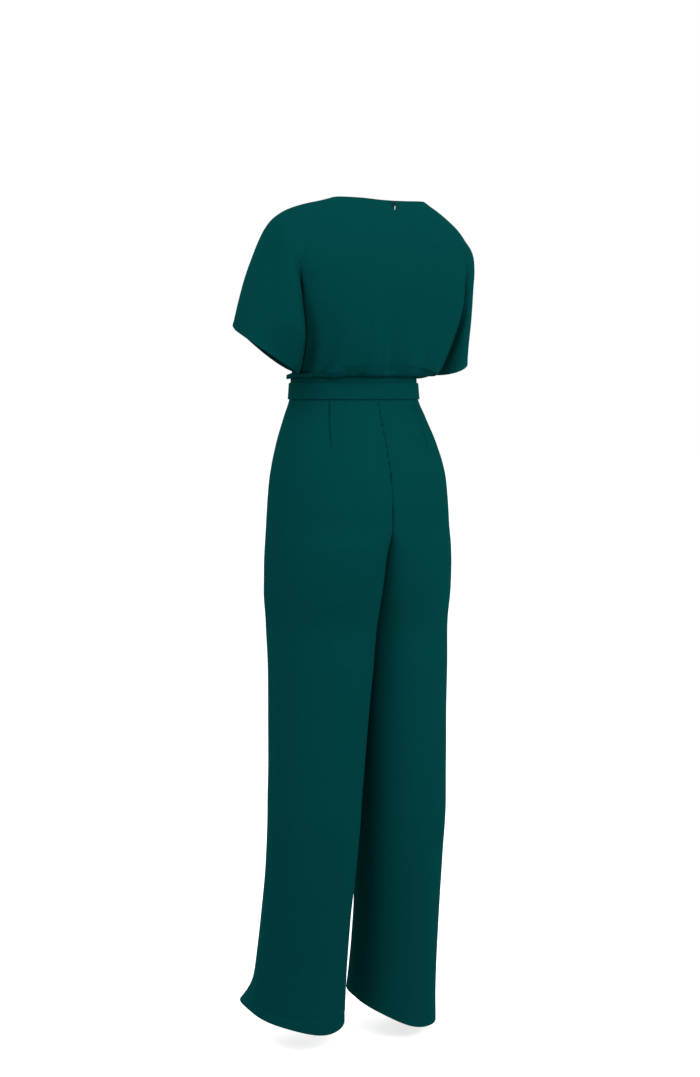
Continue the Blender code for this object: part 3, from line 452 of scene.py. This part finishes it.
def curve(table, columns, key, name):
    """Values of one column at the given keys, on a smooth curve through the table's rows."""
    index = columns.index(name)
    x, y = np.array(sorted((row[0], row[index]) for row in table), float).T
    key = np.clip(key, x[0], x[-1])
    slope = np.diff(y) / np.diff(x)
    product = slope[:-1] * slope[1:]
    steady = product > 0
    total = np.where(steady, slope[:-1] + slope[1:], 1.0)
    tangent = np.concatenate((slope[:1], np.where(steady, 2 * product / total, 0.0), slope[-1:]))
    i = np.clip(np.searchsorted(x, key) - 1, 0, len(x) - 2)
    step = x[i + 1] - x[i]
    t = (key - x[i]) / step
    return (y[i] * (2 * t ** 3 - 3 * t ** 2 + 1) + y[i + 1] * (3 * t ** 2 - 2 * t ** 3)
            + step * tangent[i] * (t ** 3 - 2 * t ** 2 + t) + step * tangent[i + 1] * (t ** 3 - t ** 2))


def section(z, name):
    """A size of the trousers' section at heights z; the waist's is the same."""
    return curve(TROUSER_TABLE, TROUSER_COLUMNS, z, name)


def mix(a, b, t):
    return a + (b - a) * t


def eased(t):
    return t * t * (3 - 2 * t)


def flattened(*values):
    """The values' common shape, and each value at every point of it, in one row."""
    values = np.broadcast_arrays(*values)
    return values[0].shape, [value.ravel().astype(float) for value in values]


def along(paths, shares):
    """The point at its own share of each path's length; paths is (path, point, xyz)."""
    steps = np.linalg.norm(np.diff(paths, axis=1), axis=2)
    lengths = np.concatenate((np.zeros((len(paths), 1)), np.cumsum(steps, axis=1)), axis=1)
    target = shares * lengths[:, -1]
    i = np.clip((lengths < target[:, None]).sum(axis=1) - 1, 0, paths.shape[1] - 2)
    row = np.arange(len(paths))
    span = np.maximum(lengths[row, i + 1] - lengths[row, i], TINY)
    t = np.clip((target - lengths[row, i]) / span, 0, 1)[:, None]
    return paths[row, i] * (1 - t) + paths[row, i + 1] * t


def bezier(start, leave, arrive, end):
    """Cubic curves, (path, point, xyz), from start to end, pulled towards the two between."""
    t = np.linspace(0, 1, PATH_STEPS + 1)[None, :, None]
    u = 1 - t
    return (start[:, None] * u ** 3 + leave[:, None] * (3 * u * u * t)
            + arrive[:, None] * (3 * u * t * t) + end[:, None] * t ** 3)


def spread(length, cell):
    """Shares of a length, 0 to 1, about a cell apart and closer beside both ends."""
    inner = length - 2 * EDGE_CELLS[-1]
    count = max(int(round(inner / cell)), 2)
    middle = EDGE_CELLS[-1] + inner * np.linspace(0, 1, count + 1)
    start = np.array(EDGE_CELLS[:-1])
    return np.concatenate((start, middle, length - start[::-1])) / length


def with_extra(shares, *extra):
    """The same shares with more among them, none closer than a hair to another."""
    merged = np.sort(np.concatenate((shares, *extra)))
    keep = np.concatenate(([True], np.diff(merged) > HAIR))
    keep[-1] = True
    return merged[keep]


# ---------------------------------------------------------------- trousers

def seat_fall(z):
    return np.clip((SEAT_TOP - z) / (SEAT_TOP - CROTCH), 0, 1)


def soft_minimum(a, b):
    """The smaller of two lengths, with a rounded change from one to the other."""
    a = np.maximum(a, TINY)
    b = np.maximum(b, TINY)
    return (a ** -ROUNDING + b ** -ROUNDING) ** (-1 / ROUNDING)


def trouser_points(side, back, z, share, seam_z=None):
    """Points of a quarter of the trousers, by height and share of the way from centre seam to side seam."""
    shape, (z, share, seam_z) = flattened(z, share, z if seam_z is None else seam_z)
    value = {name: section(z, name)[:, None] for name in TROUSER_COLUMNS[1:]}
    depth = value["back" if back else "front"]
    width = value["width"]
    apart = curve(LEG_APART, APART_COLUMNS, z, "left" if side > 0 else "right")[:, None]
    inner = value["inner"] + HALF_GAP + apart
    fall = seat_fall(seam_z)[:, None]
    seam = np.maximum(depth * np.sqrt(1 - fall * fall), HALF_GAP)
    corner_x = soft_minimum(value["corner_x"], depth - seam)
    corner_y = soft_minimum(value["corner_y"], depth - seam)
    start = inner + corner_x
    flare = np.zeros_like(depth)
    t = np.linspace(0, 1, PATH_STEPS // 3, endpoint=False)[None]
    turn = np.linspace(0, math.pi / 2, PATH_STEPS + 1)[None]
    if side > 0:
        fade = np.clip((FLARE_TOP - z) / (FLARE_TOP - HEM), 0, 1)[:, None] ** 2
        off = ((180 - np.degrees(turn) if back else np.degrees(turn)) - FLARE_TURN) / FLARE_SPREAD
        flare = FLARE_DEPTH * fade * np.exp(-off * off)
    corner = t * math.pi / 2
    x = np.concatenate((inner + 0 * t, start - corner_x * np.cos(corner),
                        start + (width + flare - start) * np.sin(turn)), axis=1)
    y = np.concatenate((mix(seam, depth - corner_y, t), depth - corner_y * (1 - np.sin(corner)),
                        np.maximum((depth + flare) * np.cos(turn), HALF_GAP)), axis=1)
    facing = 1 if back else -1
    level, back_drop, outer_drop = HEM_DROP[side]
    hem = np.clip((HEM_START - z) / (HEM_START - HEM), 0, 1)[:, None] ** 2
    outer = (2 * x - width - inner) / (width - inner)
    drop = hem * (level + back_drop * facing * y / depth + outer_drop * outer)
    paths = np.stack((value["x"] + side * x, value["y"] + facing * y, z[:, None] - drop), axis=2)
    points = along(paths, share)
    if back:
        at, reach, low = HEM_POINT[side]
        points[:, 2] -= low * hem[:, 0] * np.exp(-((share - at) / reach) ** 2)
    return points.reshape(shape + (3,))


def waist_points(turn, z, outset):
    """Points on the waist's section, by angle from the wearer's left towards the back."""
    depth = np.where(np.sin(turn) > 0, section(z, "back"), section(z, "front")) + outset
    x = section(z, "x") + (section(z, "width") + outset) * np.cos(turn)
    y = section(z, "y") + depth * np.sin(turn)
    return np.stack(np.broadcast_arrays(x, y, z), axis=-1).astype(float)


# ---------------------------------------------------------------- bodice

def bodice_guides(side, back, row):
    """Centre, valley and ridge points of rows of a half bodice."""
    word = "back" if back else "front"
    facing = 1 if back else -1
    underarm = np.maximum(0.0, 1 - ((row - 1) / UNDERARM_REACH) ** 2)
    x, y, z = [curve(CENTRE_LINE, CENTRE_COLUMNS, row, name) for name in ("x", word + "_y", word + "_z")]
    opening = HALF_GAP + (ZIP_MOUTH - HALF_GAP) * np.clip((z - ZIP_MOUTH_END) / -ZIP_MOUTH_END, 0, 1)
    centre = np.stack((x + side * opening * back, y, z), axis=1)
    table = VALLEY_LEFT if side > 0 else VALLEY_RIGHT
    x, y, z = [curve(table, VALLEY_COLUMNS, row, name) for name in ("x", word + "_y", "z")]
    valley = np.stack((side * x, y + facing * mix(SIDE_GAP, UNDERARM_GAP, underarm), z), axis=1)
    crease = curve(table, VALLEY_COLUMNS, row, "crease")[:, None]
    table = RIDGE_LEFT if side > 0 else RIDGE_RIGHT
    x, y, z = [curve(table, RIDGE_COLUMNS, row, name) for name in ("x", "y", "z")]
    ridge = np.stack((side * x, y + facing * HALF_GAP, z), axis=1)
    return centre, valley, ridge, crease


def fold_height(side, row, share):
    """How far points of the blouson stand out in its folds, which fade out at the waist seam."""
    rise = np.sin(math.pi * np.clip((row - FOLD_TOP_ROW) / (LAST_ROW - FOLD_TOP_ROW), 0, 1))
    total = np.zeros_like(share)
    for centre, width, height in FOLDS_LEFT if side > 0 else FOLDS_RIGHT:
        total += height * np.exp(-((share - centre) / width) ** 2)
    return total * rise


def body_points(side, back, row, share):
    """Points of a half bodice, by row and share of the way from the centre line to the valley."""
    shape, (row, share) = flattened(row, share)
    centre, valley, ridge, crease = bodice_guides(side, back, row)
    leave = centre.copy()
    leave[:, 0] += (valley[:, 0] - centre[:, 0]) * ROUNDNESS
    smooth = valley - (ridge - centre) * SHOULDER_PULL
    creased = valley.copy()
    creased[:, 1] += (centre[:, 1] - valley[:, 1]) * ROUNDNESS
    points = along(bezier(centre, leave, mix(smooth, creased, crease), valley), share)
    out = np.stack((points[:, 0] - centre[:, 0], points[:, 1] - valley[:, 1]), axis=1)
    out /= np.maximum(np.linalg.norm(out, axis=1), TINY)[:, None]
    height = fold_height(side, row, share)
    hang = np.clip((row - FOLD_SAG_ROW) / FOLD_SAG_REACH, 0, 1)
    points[:, :2] += out * height[:, None]
    points[:, 2] -= FOLD_SAG * height * hang
    steps = (LIFT_LEFT if side > 0 else LIFT_RIGHT) if back else LIFT_FRONT
    rise = np.sin(math.pi * np.clip((row - LIFT_ROW) / (LAST_ROW - LIFT_ROW), 0, 1)) ** LIFT_POWER
    points[:, 2] += rise * np.interp(share, *np.array(steps).T)
    return points.reshape(shape + (3,))


def sleeve_points(side, back, row, share):
    """Points of a half sleeve, by row and share of the way from the valley over to the ridge."""
    shape, (row, share) = flattened(row, share)
    centre, valley, ridge, crease = bodice_guides(side, back, row)
    word = ("left" if side > 0 else "right") + ("_back" if back else "_front")
    bulge = curve(SLEEVE, SLEEVE_COLUMNS, row, word) * (1 if back else -1)
    sag = curve(SLEEVE, SLEEVE_COLUMNS, row, word + "_sag")
    smooth = valley + (ridge - centre) * SHOULDER_PULL
    creased = valley + np.stack(((ridge - valley)[:, 0] * CREASE_OUT, bulge, -sag * CREASE_SAG), axis=1)
    arrive = ridge + np.stack((0 * bulge, bulge, -sag), axis=1)
    points = along(bezier(valley, mix(smooth, creased, crease), arrive, ridge), share)
    return points.reshape(shape + (3,))


SURFACES = {"body": body_points, "sleeve": sleeve_points, "leg": trouser_points}


# ---------------------------------------------------------------- cloth

def smooth_line(points):
    """Many points on a rounded line through a few."""
    points = np.array(points, float)
    ends = np.vstack((2 * points[0] - points[1], points, 2 * points[-1] - points[-2]))
    rows = []
    for a, b, c, d in zip(ends, ends[1:], ends[2:], ends[3:]):
        t = np.linspace(0, 1, LINE_STEPS // (len(points) - 1) + 1)[:-1, None]
        rows.append(0.5 * (2 * b + (c - a) * t + (2 * a - 5 * b + 4 * c - d) * t ** 2
                           + (3 * b - a - 3 * c + d) * t ** 3))
    return np.vstack(rows + [points[-1:]])


def crease_heights(points, creases, side, back):
    """How far cloth points stand out over its creases; a crease fades towards its ends."""
    heights = np.zeros(len(points))
    for part, height, width, (start, end), line in creases:
        route = SURFACES[part](side, back, *smooth_line(line).T)
        apart = np.linalg.norm(points[:, None] - route[None], axis=2)
        nearest = apart.argmin(axis=1)
        t = nearest / (len(route) - 1)
        fade = np.clip(t / max(start, TINY), 0, 1) * np.clip((1 - t) / max(end, TINY), 0, 1)
        heights += height * eased(fade) * np.exp(-(apart.min(axis=1) / width) ** 2)
    return heights


def mesh_from_grids(name, grids):
    mesh = bpy.data.meshes.new(name)
    points = []
    faces = []
    for grid in grids:
        rows, columns = grid.shape[:2]
        index = np.arange(rows * columns).reshape(rows, columns) + sum(len(p) for p in points)
        quads = np.stack((index[:-1, :-1], index[1:, :-1], index[1:, 1:], index[:-1, 1:]), axis=2)
        points.append(grid.reshape(-1, 3))
        faces += quads.reshape(-1, 4).tolist()
    mesh.from_pydata((np.vstack(points) * MM).tolist(), [], faces)
    work = bmesh.new()
    work.from_mesh(mesh)
    bmesh.ops.remove_doubles(work, verts=work.verts, dist=WELD)
    work.to_mesh(mesh)
    work.free()
    return mesh


def edge_distance(mesh, points):
    """Distance in millimetres of every cloth point from the piece's own edge."""
    work = bmesh.new()
    work.from_mesh(mesh)
    edge = [vert.index for vert in work.verts if vert.is_boundary]
    work.free()
    tree = kdtree.KDTree(len(edge))
    for i, index in enumerate(edge):
        tree.insert(points[index], i)
    tree.balance()
    return np.array([tree.find(point)[2] for point in points])


def new_object(name, data):
    item = bpy.data.objects.new(name, data)
    bpy.context.scene.collection.objects.link(item)
    return item


def add_wall(piece, thickness, offset):
    wall = piece.modifiers.new("Wall", "SOLIDIFY")
    wall.thickness = thickness * MM
    wall.offset = offset


def crepe_piece(mesh, material, thickness):
    mesh.shade_smooth()
    mesh.materials.append(material)
    piece = new_object(mesh.name, mesh)
    add_wall(piece, thickness, -1)
    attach(piece, "garment")
    return piece


def add_cloth(name, grids, heights, material, roll_depth=ROLL_DEPTH):
    """Thin shell through grids of points that share their edges; heights(points) makes its creases."""
    mesh = mesh_from_grids(name, grids)
    count = len(mesh.vertices)
    points = np.empty(count * 3)
    mesh.vertices.foreach_get("co", points)
    points = points.reshape(-1, 3) / MM
    normals = np.empty(count * 3, np.float32)
    mesh.vertex_normals.foreach_get("vector", normals)
    normals = normals.reshape(-1, 3)
    roll = np.clip(1 - edge_distance(mesh, points) / ROLL_WIDTH, 0, 1)
    moved = normals * (heights(points) - roll_depth * roll * roll)[:, None]
    free = np.clip(np.abs(points[:, 0] - section(points[:, 2], "x")) / HELD_WIDTH - HELD_SHARE, 0, 1)
    moved[:, 0] *= np.where(points[:, 2] < WAISTBAND_BOTTOM, free, 1)
    points += moved
    mesh.vertices.foreach_set("co", (points * MM).ravel())
    mesh.update()
    return crepe_piece(mesh, material, SHELL)


def turned(grid, turn):
    """The same grid, with its columns in the other order where its faces have to turn over."""
    return grid[:, ::-1] if turn else grid


def bodice_grids(side, back):
    rows = with_extra(LAST_ROW * spread(BODICE_LENGTH, CELL), [1.0])
    shares = spread(BODY_WIDTH, CELL)
    if back and side < 0:
        shares = with_extra(shares, np.linspace(*FINE_SHARES, FINE_CELLS))
    body = body_points(side, back, rows[:, None], shares[None])
    upper = rows[rows <= 1.0]
    sleeve = sleeve_points(side, back, upper[:, None], spread(SLEEVE_WIDTH, CELL)[None])
    return body, sleeve


def trouser_rows():
    """Heights of each row at the centre seam, which curves under to the crotch, and at the side seam."""
    waist = np.concatenate((TROUSER_TOP - np.array(EDGE_CELLS[:-1]),
                            np.linspace(TROUSER_TOP - EDGE_CELLS[-1], SEAT_TOP, WAIST_ROWS + 1)[:-1]))
    seat = np.linspace(0, 1, SEAT_ROWS + 1)[:-1]
    share = np.linspace(0, 1, LEG_ROWS + 1)
    hem = np.concatenate((HEM_DEPTH + np.array(HEM_CELLS), EDGE_CELLS[::-1]))
    seat_end = mix(SEAT_TOP, HEM, SEAT_SHARE)
    centre = np.concatenate((waist, mix(SEAT_TOP, CROTCH, np.sin(math.pi / 2 * seat)),
                             mix(CROTCH, HEM + hem[0] + LEG_CELL, share), HEM + hem))
    outer = np.concatenate((waist, mix(SEAT_TOP, seat_end, seat),
                            mix(seat_end, HEM + hem[0] + LEG_CELL, share), HEM + hem))
    return centre, outer


def trouser_grid(side, back):
    centre, outer = trouser_rows()
    shares = spread(LEG_WIDTH, LEG_CELL)
    dart = [share for _, share in (BACK_DART if back else FRONT_DART)]
    shares = with_extra(shares, np.linspace(min(dart) - DART_MARGIN, max(dart) + DART_MARGIN, DART_CELLS))
    z = mix(centre[:, None], outer[:, None], shares[None])
    return trouser_points(side, back, z, shares[None], centre[:, None])


# ---------------------------------------------------------------- materials

def set_values(node, settings):
    """Sets a node's settings and inputs by name, with _ for a space."""
    for key, value in settings.items():
        if hasattr(node, key):
            setattr(node, key, value)
        else:
            node.inputs[key.replace("_", " ")].default_value = value


def new_material(name, **settings):
    material = bpy.data.materials.new(name)
    material.use_nodes = True
    shader = material.node_tree.nodes["Principled BSDF"]
    set_values(shader, settings)
    return material, material.node_tree, shader


def add_node(tree, kind, source=None, **settings):
    node = tree.nodes.new("ShaderNode" + kind)
    if source:
        tree.links.new(source, node.inputs[0])
    set_values(node, settings)
    return node


def maths(tree, operation, *values, kind="Math"):
    """Result of a maths node; each value is a number or another node's output."""
    node = add_node(tree, kind, operation=operation)
    for socket, value in zip(node.inputs, values):
        if isinstance(value, bpy.types.NodeSocket):
            tree.links.new(value, socket)
        else:
            socket.default_value = value
    return node.outputs["Value"]


def object_place(tree):
    return add_node(tree, "TexCoord").outputs["Object"]


def fine_noise(tree, scale, detail=3.0):
    return add_node(tree, "TexNoise", object_place(tree), Scale=scale, Detail=detail).outputs["Fac"]


def two_colours(tree, shader, factor, colours, places=RAMP):
    ramp = add_node(tree, "ValToRGB", factor)
    for element, colour, place in zip(ramp.color_ramp.elements, colours, places):
        element.position = place
        element.color = (*colour, 1)
    tree.links.new(ramp.outputs["Color"], shader.inputs["Base Color"])


def add_bump(tree, shader, height, distance, strength):
    bump = add_node(tree, "Bump", Strength=strength, Distance=distance)
    tree.links.new(height, bump.inputs["Height"])
    tree.links.new(bump.outputs["Normal"], shader.inputs["Normal"])


def crepe_material():
    """Matte crepe: pebbled grain, slight change of shade from thread to thread, soft sheen."""
    material, tree, shader = new_material(
        "crepe", Roughness=0.75, Specular_IOR_Level=0.0,
        Sheen_Weight=0.04, Sheen_Roughness=0.5, Sheen_Tint=(*SHEEN, 1))
    two_colours(tree, shader, fine_noise(tree, 420.0), CREPE)
    add_bump(tree, shader, fine_noise(tree, 1500.0, 2.0), 0.0002, 0.35)
    return material


def tape_material():
    """Woven zip tape and its coil."""
    material, tree, shader = new_material("zip_tape", Roughness=0.8, Specular_IOR_Level=0.1)
    weave = add_node(tree, "TexWave", object_place(tree), Scale=700.0, Distortion=0.5,
                     bands_direction="Z").outputs["Fac"]
    two_colours(tree, shader, weave, TAPE)
    add_bump(tree, shader, weave, 0.0001, 0.5)
    return material


def painted_highlight_metal_material():
    """Metal of the pull tab: painted in the cloth's colour, and bright along its middle near its end as a
    painted highlight.
    """
    material, tree, shader = new_material("zip_metal", Metallic=1.0, Roughness=0.28)
    place = object_place(tree)
    height = add_node(tree, "SeparateXYZ", place).outputs["Z"]
    # painted highlight: bright towards the tab's end and along its middle, with noise patches
    low = add_node(tree, "MapRange", height, From_Min=HIGHLIGHT_START, From_Max=HIGHLIGHT_END).outputs["Result"]
    joint = next(joint for joint in frame["joints"] if joint["name"] == "pull_hinge")
    across = maths(tree, "DOT_PRODUCT", place, joint["axis"], kind="VectorMath")
    off = maths(tree, "SUBTRACT", across, Vector(joint["axis"]).dot(Vector(joint["pos_m"])))
    middle = add_node(tree, "MapRange", maths(tree, "ABSOLUTE", off), From_Min=HIGHLIGHT_HALF_WIDTH,
                      From_Max=HIGHLIGHT_HALF_WIDTH / 2).outputs["Result"]
    noise = fine_noise(tree, 900.0, 4.0)
    painted_highlight = maths(tree, "MULTIPLY_ADD", noise, HIGHLIGHT_PATCHES, maths(tree, "MULTIPLY", low, middle))
    two_colours(tree, shader, painted_highlight, TAB_PAINT_AND_HIGHLIGHT, HIGHLIGHT_RAMP)
    add_bump(tree, shader, noise, 0.00003, 0.3)
    return material


def paint_material():
    """Slider painted in the cloth's colour, slightly worn."""
    material, tree, shader = new_material("zip_paint", Roughness=0.45)
    noise = fine_noise(tree, 700.0, 4.0)
    two_colours(tree, shader, noise, PAINT)
    add_bump(tree, shader, noise, 0.00003, 0.3)
    return material


def floor_material():
    """Pale floor that glows faintly, so that the garment's shadow on it stays soft."""
    material, tree, shader = new_material("floor", Roughness=0.9, Emission_Color=(1, 1, 1, 1),
                                          Emission_Strength=FLOOR_GLOW)
    two_colours(tree, shader, fine_noise(tree, 3.0), PALE)
    return material


# ---------------------------------------------------------------- pieces

def add_bodice(crepe):
    pieces = {}
    for side, word in SIDES:
        body, sleeve = bodice_grids(side, True)
        turn = side > 0
        piece = add_cloth("cloth_back_" + word, [turned(body, turn), turned(sleeve, turn)],
                          lambda points: crease_heights(points, CREASES[("back", side)], side, True),
                          crepe, BACK_ROLL_DEPTH)
        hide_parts("bodice_back_" + word)
        pieces["back_" + word] = piece
    grids = []
    for side in (1, -1):
        turn = side < 0
        grids += [turned(grid, turn) for grid in bodice_grids(side, False)]

    def front_heights(points):
        return sum(crease_heights(points, CREASES[("front", side)], side, False) for side in (1, -1))

    piece = add_cloth("cloth_front", grids, front_heights, crepe)
    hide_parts("bodice_front")
    pieces["front"] = piece
    return pieces


def add_trousers(crepe):
    pieces = {}
    for side, word in SIDES:
        for back, end in ((True, "back"), (False, "front")):
            grid = turned(trouser_grid(side, back), (side > 0) == back)
            piece = add_cloth("cloth_leg_" + end + "_" + word, [grid],
                              lambda points: leg_heights(points, side, back), crepe)
            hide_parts("trouser_" + end + "_" + word)
            pieces["leg_" + end + "_" + word] = piece
    return pieces


def leg_heights(points, side, back):
    heights = crease_heights(points, CREASES[("leg_back" if back else "leg_front", side)], side, back)
    dart = ("leg", -DART_DEPTH, DART_WIDTH, DART_FADE, BACK_DART if back else FRONT_DART)
    heights += crease_heights(points, (dart,), side, back)
    level, back_drop, outer_drop = HEM_DROP[side]
    x, y, z = points.T
    outer = 2 * side * (x - section(z, "x")) / section(z, "width") - 1
    backward = (y - section(z, "y")) / section(z, "back" if back else "front")
    above_hem = z - HEM + level + back_drop * backward + outer_drop * outer
    return heights - HEM_STITCH * np.exp(-((above_hem - HEM_DEPTH) / HEM_STITCH_WIDTH) ** 2)


def add_waistband(crepe):
    """Band round the waist; its allowances turn up and down inside the bodice and the trousers."""
    rows = np.array(WAISTBAND_ROWS)
    z = np.concatenate((WAISTBAND_TOP + rows, [WAISTBAND_MIDDLE], WAISTBAND_BOTTOM - rows[::-1]))
    outset = np.where((z > WAISTBAND_TOP) | (z < WAISTBAND_BOTTOM), -ALLOWANCE_INSET, 0.0)
    opening = HALF_GAP / WAIST_RADIUS
    turn = mix(math.pi / 2 + opening, math.pi * 5 / 2 - opening, spread(WAIST_ROUND, CELL))
    grid = waist_points(turn[None], z[:, None], outset[:, None])
    piece = add_cloth("cloth_waistband", [grid], lambda points: np.zeros(len(points)), crepe)
    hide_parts("waistband")
    return piece


def add_belt(crepe):
    """Belt: a strip with rounded, stitched edges, laid once round and over its own start."""
    height = BELT_TOP - BELT_BOTTOM
    down = np.array((*BELT_ROWS, height / 2))
    down = np.concatenate((down, height - down[-2::-1]))
    edge = np.minimum(down, height - down)
    rounded = BELT_EDGE * np.clip(1 - edge / BELT_ROLL, 0, 1) ** 2
    stitched = BELT_STITCH_DEPTH * np.exp(-((edge - BELT_STITCH) / BELT_STITCH_WIDTH) ** 2)
    start = math.radians(270 - BELT_LAP / 2)
    turn = math.radians(360 + BELT_LAP) * np.linspace(0, 1, BELT_POINTS)
    climb = eased(np.clip((np.degrees(turn) - 360 + BELT_LAP_RISE) / BELT_LAP_RISE, 0, 1))
    outset = BELT_CLEARANCE + BELT_THICKNESS + climb * (BELT_THICKNESS + BELT_CLEARANCE)
    outset = outset[None] - (rounded + stitched)[:, None]
    grid = waist_points((start + turn)[None], (BELT_TOP - down)[:, None], outset)
    piece = crepe_piece(mesh_from_grids("cloth_belt", [grid]), crepe, BELT_THICKNESS - BELT_EDGE)
    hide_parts("belt")
    return piece


def zip_rows():
    """Grids of the two tapes, inside the cloth of the back, and the coil's route between them."""
    row = np.linspace(TAPE_TOP_ROW, LAST_ROW, TAPE_ROWS[0])
    z = np.linspace(WAISTBAND_TOP - 1, TOOTH_BOTTOM, TAPE_ROWS[1])
    share = np.array(TAPE_SHARES)[None] * TAPE_WIDTH
    tapes = []
    for side in (1, -1):
        centre, valley = bodice_guides(side, True, row)[:2]
        body = body_points(side, True, row[:, None], share / np.linalg.norm(valley - centre, axis=1)[:, None])
        leg = trouser_points(side, True, z[:, None], share / LEG_WIDTH)
        points = np.concatenate((body, leg))
        heights = [crease_heights(body.reshape(-1, 3), CREASES[("back", side)], side, True),
                   crease_heights(leg.reshape(-1, 3), CREASES[("leg_back", side)], side, True)]
        tapes.append((points, np.concatenate(heights).reshape(points.shape[:2])))
    middle = (tapes[0][0][:, 0] + tapes[1][0][:, 0]) / 2
    down = np.gradient(middle, axis=0)
    out = np.cross((1.0, 0.0, 0.0), down / np.linalg.norm(down, axis=1)[:, None])
    depth = np.minimum(tapes[0][1], tapes[1][1])[:, 0]
    for (points, heights), shift in zip(tapes, (TAPE_GAP, -TAPE_GAP)):
        points[:, 0] = middle + (shift, 0, 0)
        heights[:, 0] = depth
    grids = [points + out[:, None] * (heights - TAPE_INSET)[..., None] for points, heights in tapes]
    return grids, middle + out * (depth - TAPE_INSET - TOOTH_INSET)[:, None]


def add_zip(tape):
    """Tapes and coil of the closed zip, inside the seam down the centre back."""
    (left, right), route = zip_rows()
    mesh = mesh_from_grids("zip_tapes", [left, turned(right, True)])
    tapes = new_object("zip_tapes", mesh)
    add_wall(tapes, TAPE_THICKNESS, 1)
    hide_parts("zip_chain")
    length = np.concatenate(([0], np.cumsum(np.linalg.norm(np.diff(route, axis=0), axis=1))))
    places = np.arange(0, length[-1] - 1, TOOTH_PITCH)
    centre, ahead = [np.stack([np.interp(at, length, route[:, i]) for i in range(3)], axis=1)
                     for at in (places, places + 1)]
    work = bmesh.new()
    for i, (point, down) in enumerate(zip(centre, ahead - centre)):
        down = Vector(down).normalized()
        axes = Matrix((Vector((1, 0, 0)), down, Vector((1, 0, 0)).cross(down))).transposed().to_4x4()
        shift = TOOTH_HALF_WIDTH * TOOTH_SHIFT * (1 if i % 2 else -1)
        axes.translation = (Vector(point) + Vector((shift, 0, 0))) * MM
        size = Vector((TOOTH_HALF_WIDTH, TOOTH_RADIUS, TOOTH_RADIUS * TOOTH_STRETCH)) * MM
        axes = axes @ Matrix.Diagonal((*size, 1))
        bmesh.ops.create_icosphere(work, subdivisions=1, radius=1.0, matrix=axes)
    mesh = bpy.data.meshes.new("zip_coil")
    work.to_mesh(mesh)
    work.free()
    for piece in (tapes, new_object("zip_coil", mesh)):
        piece.data.shade_smooth()
        piece.data.materials.append(tape)
        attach(piece, "garment")
    return tapes


# ---------------------------------------------------------------- studio

def add_camera():
    camera = new_object("camera", bpy.data.cameras.new("camera"))
    camera.location = CAMERA_PLACE
    camera.rotation_euler = (math.radians(90 - CAMERA_PITCH), 0, math.radians(CAMERA_TURN))
    camera.data.lens = CAMERA_LENS
    camera.data.sensor_width = CAMERA_SENSOR
    camera.data.clip_start = CAMERA_NEAR
    bpy.context.scene.camera = camera


def add_light(name, place, size, power):
    light = bpy.data.lights.new(name, "AREA")
    light.energy = power
    light.shape = "RECTANGLE"
    light.size, light.size_y = size
    lamp = new_object(name, light)
    lamp.location = place
    aim = Vector(LIGHT_AIM) - lamp.location
    lamp.rotation_euler = aim.to_track_quat("-Z", "Y").to_euler()


def add_studio():
    world = bpy.data.worlds.new("studio")
    world.use_nodes = True
    tree = world.node_tree
    light = tree.nodes["Background"]
    light.inputs["Color"].default_value = (1, 1, 1, 1)
    light.inputs["Strength"].default_value = ROOM_LIGHT
    wall = add_node(tree, "Background", Color=(1, 1, 1, 1), Strength=WALL_BRIGHTNESS)
    mixed = add_node(tree, "MixShader")
    tree.links.new(add_node(tree, "LightPath").outputs["Is Camera Ray"], mixed.inputs["Fac"])
    tree.links.new(light.outputs["Background"], mixed.inputs[1])
    tree.links.new(wall.outputs["Background"], mixed.inputs[2])
    tree.links.new(mixed.outputs["Shader"], tree.nodes["World Output"].inputs["Surface"])
    bpy.context.scene.world = world
    bpy.context.scene.view_settings.view_transform = "Standard"
    for name, place, size, power in LIGHTS:
        add_light(name, place, size, power)
    mesh = bpy.data.meshes.new("floor")
    half = FLOOR_SIZE / 2
    mesh.from_pydata([(-half, -half, FLOOR), (half, -half, FLOOR), (half, half, FLOOR), (-half, half, FLOOR)],
                     [], [(0, 1, 2, 3)])
    mesh.materials.append(floor_material())
    floor = new_object("floor", mesh)
    floor.visible_diffuse = False       # a pale floor would light the legs from below


# ---------------------------------------------------------------- scene


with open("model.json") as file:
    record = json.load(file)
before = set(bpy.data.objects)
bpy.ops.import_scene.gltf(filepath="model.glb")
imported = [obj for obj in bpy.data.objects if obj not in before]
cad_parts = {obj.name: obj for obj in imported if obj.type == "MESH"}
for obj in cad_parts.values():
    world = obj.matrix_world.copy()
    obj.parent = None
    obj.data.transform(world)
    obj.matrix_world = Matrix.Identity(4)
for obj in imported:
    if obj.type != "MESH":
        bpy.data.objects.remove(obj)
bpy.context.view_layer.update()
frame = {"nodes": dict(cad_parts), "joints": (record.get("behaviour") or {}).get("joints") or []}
crepe = crepe_material()
tape = tape_material()
metal = painted_highlight_metal_material()
paint = paint_material()

bodice = add_bodice(crepe)
legs = add_trousers(crepe)
band = add_waistband(crepe)
belt = add_belt(crepe)
tapes = add_zip(tape)
for node, material in (("zip_slider", paint), ("zip_pull_tab", metal)):
    for slot in frame["nodes"][node].material_slots:
        slot.material = material

add_studio()
add_camera()
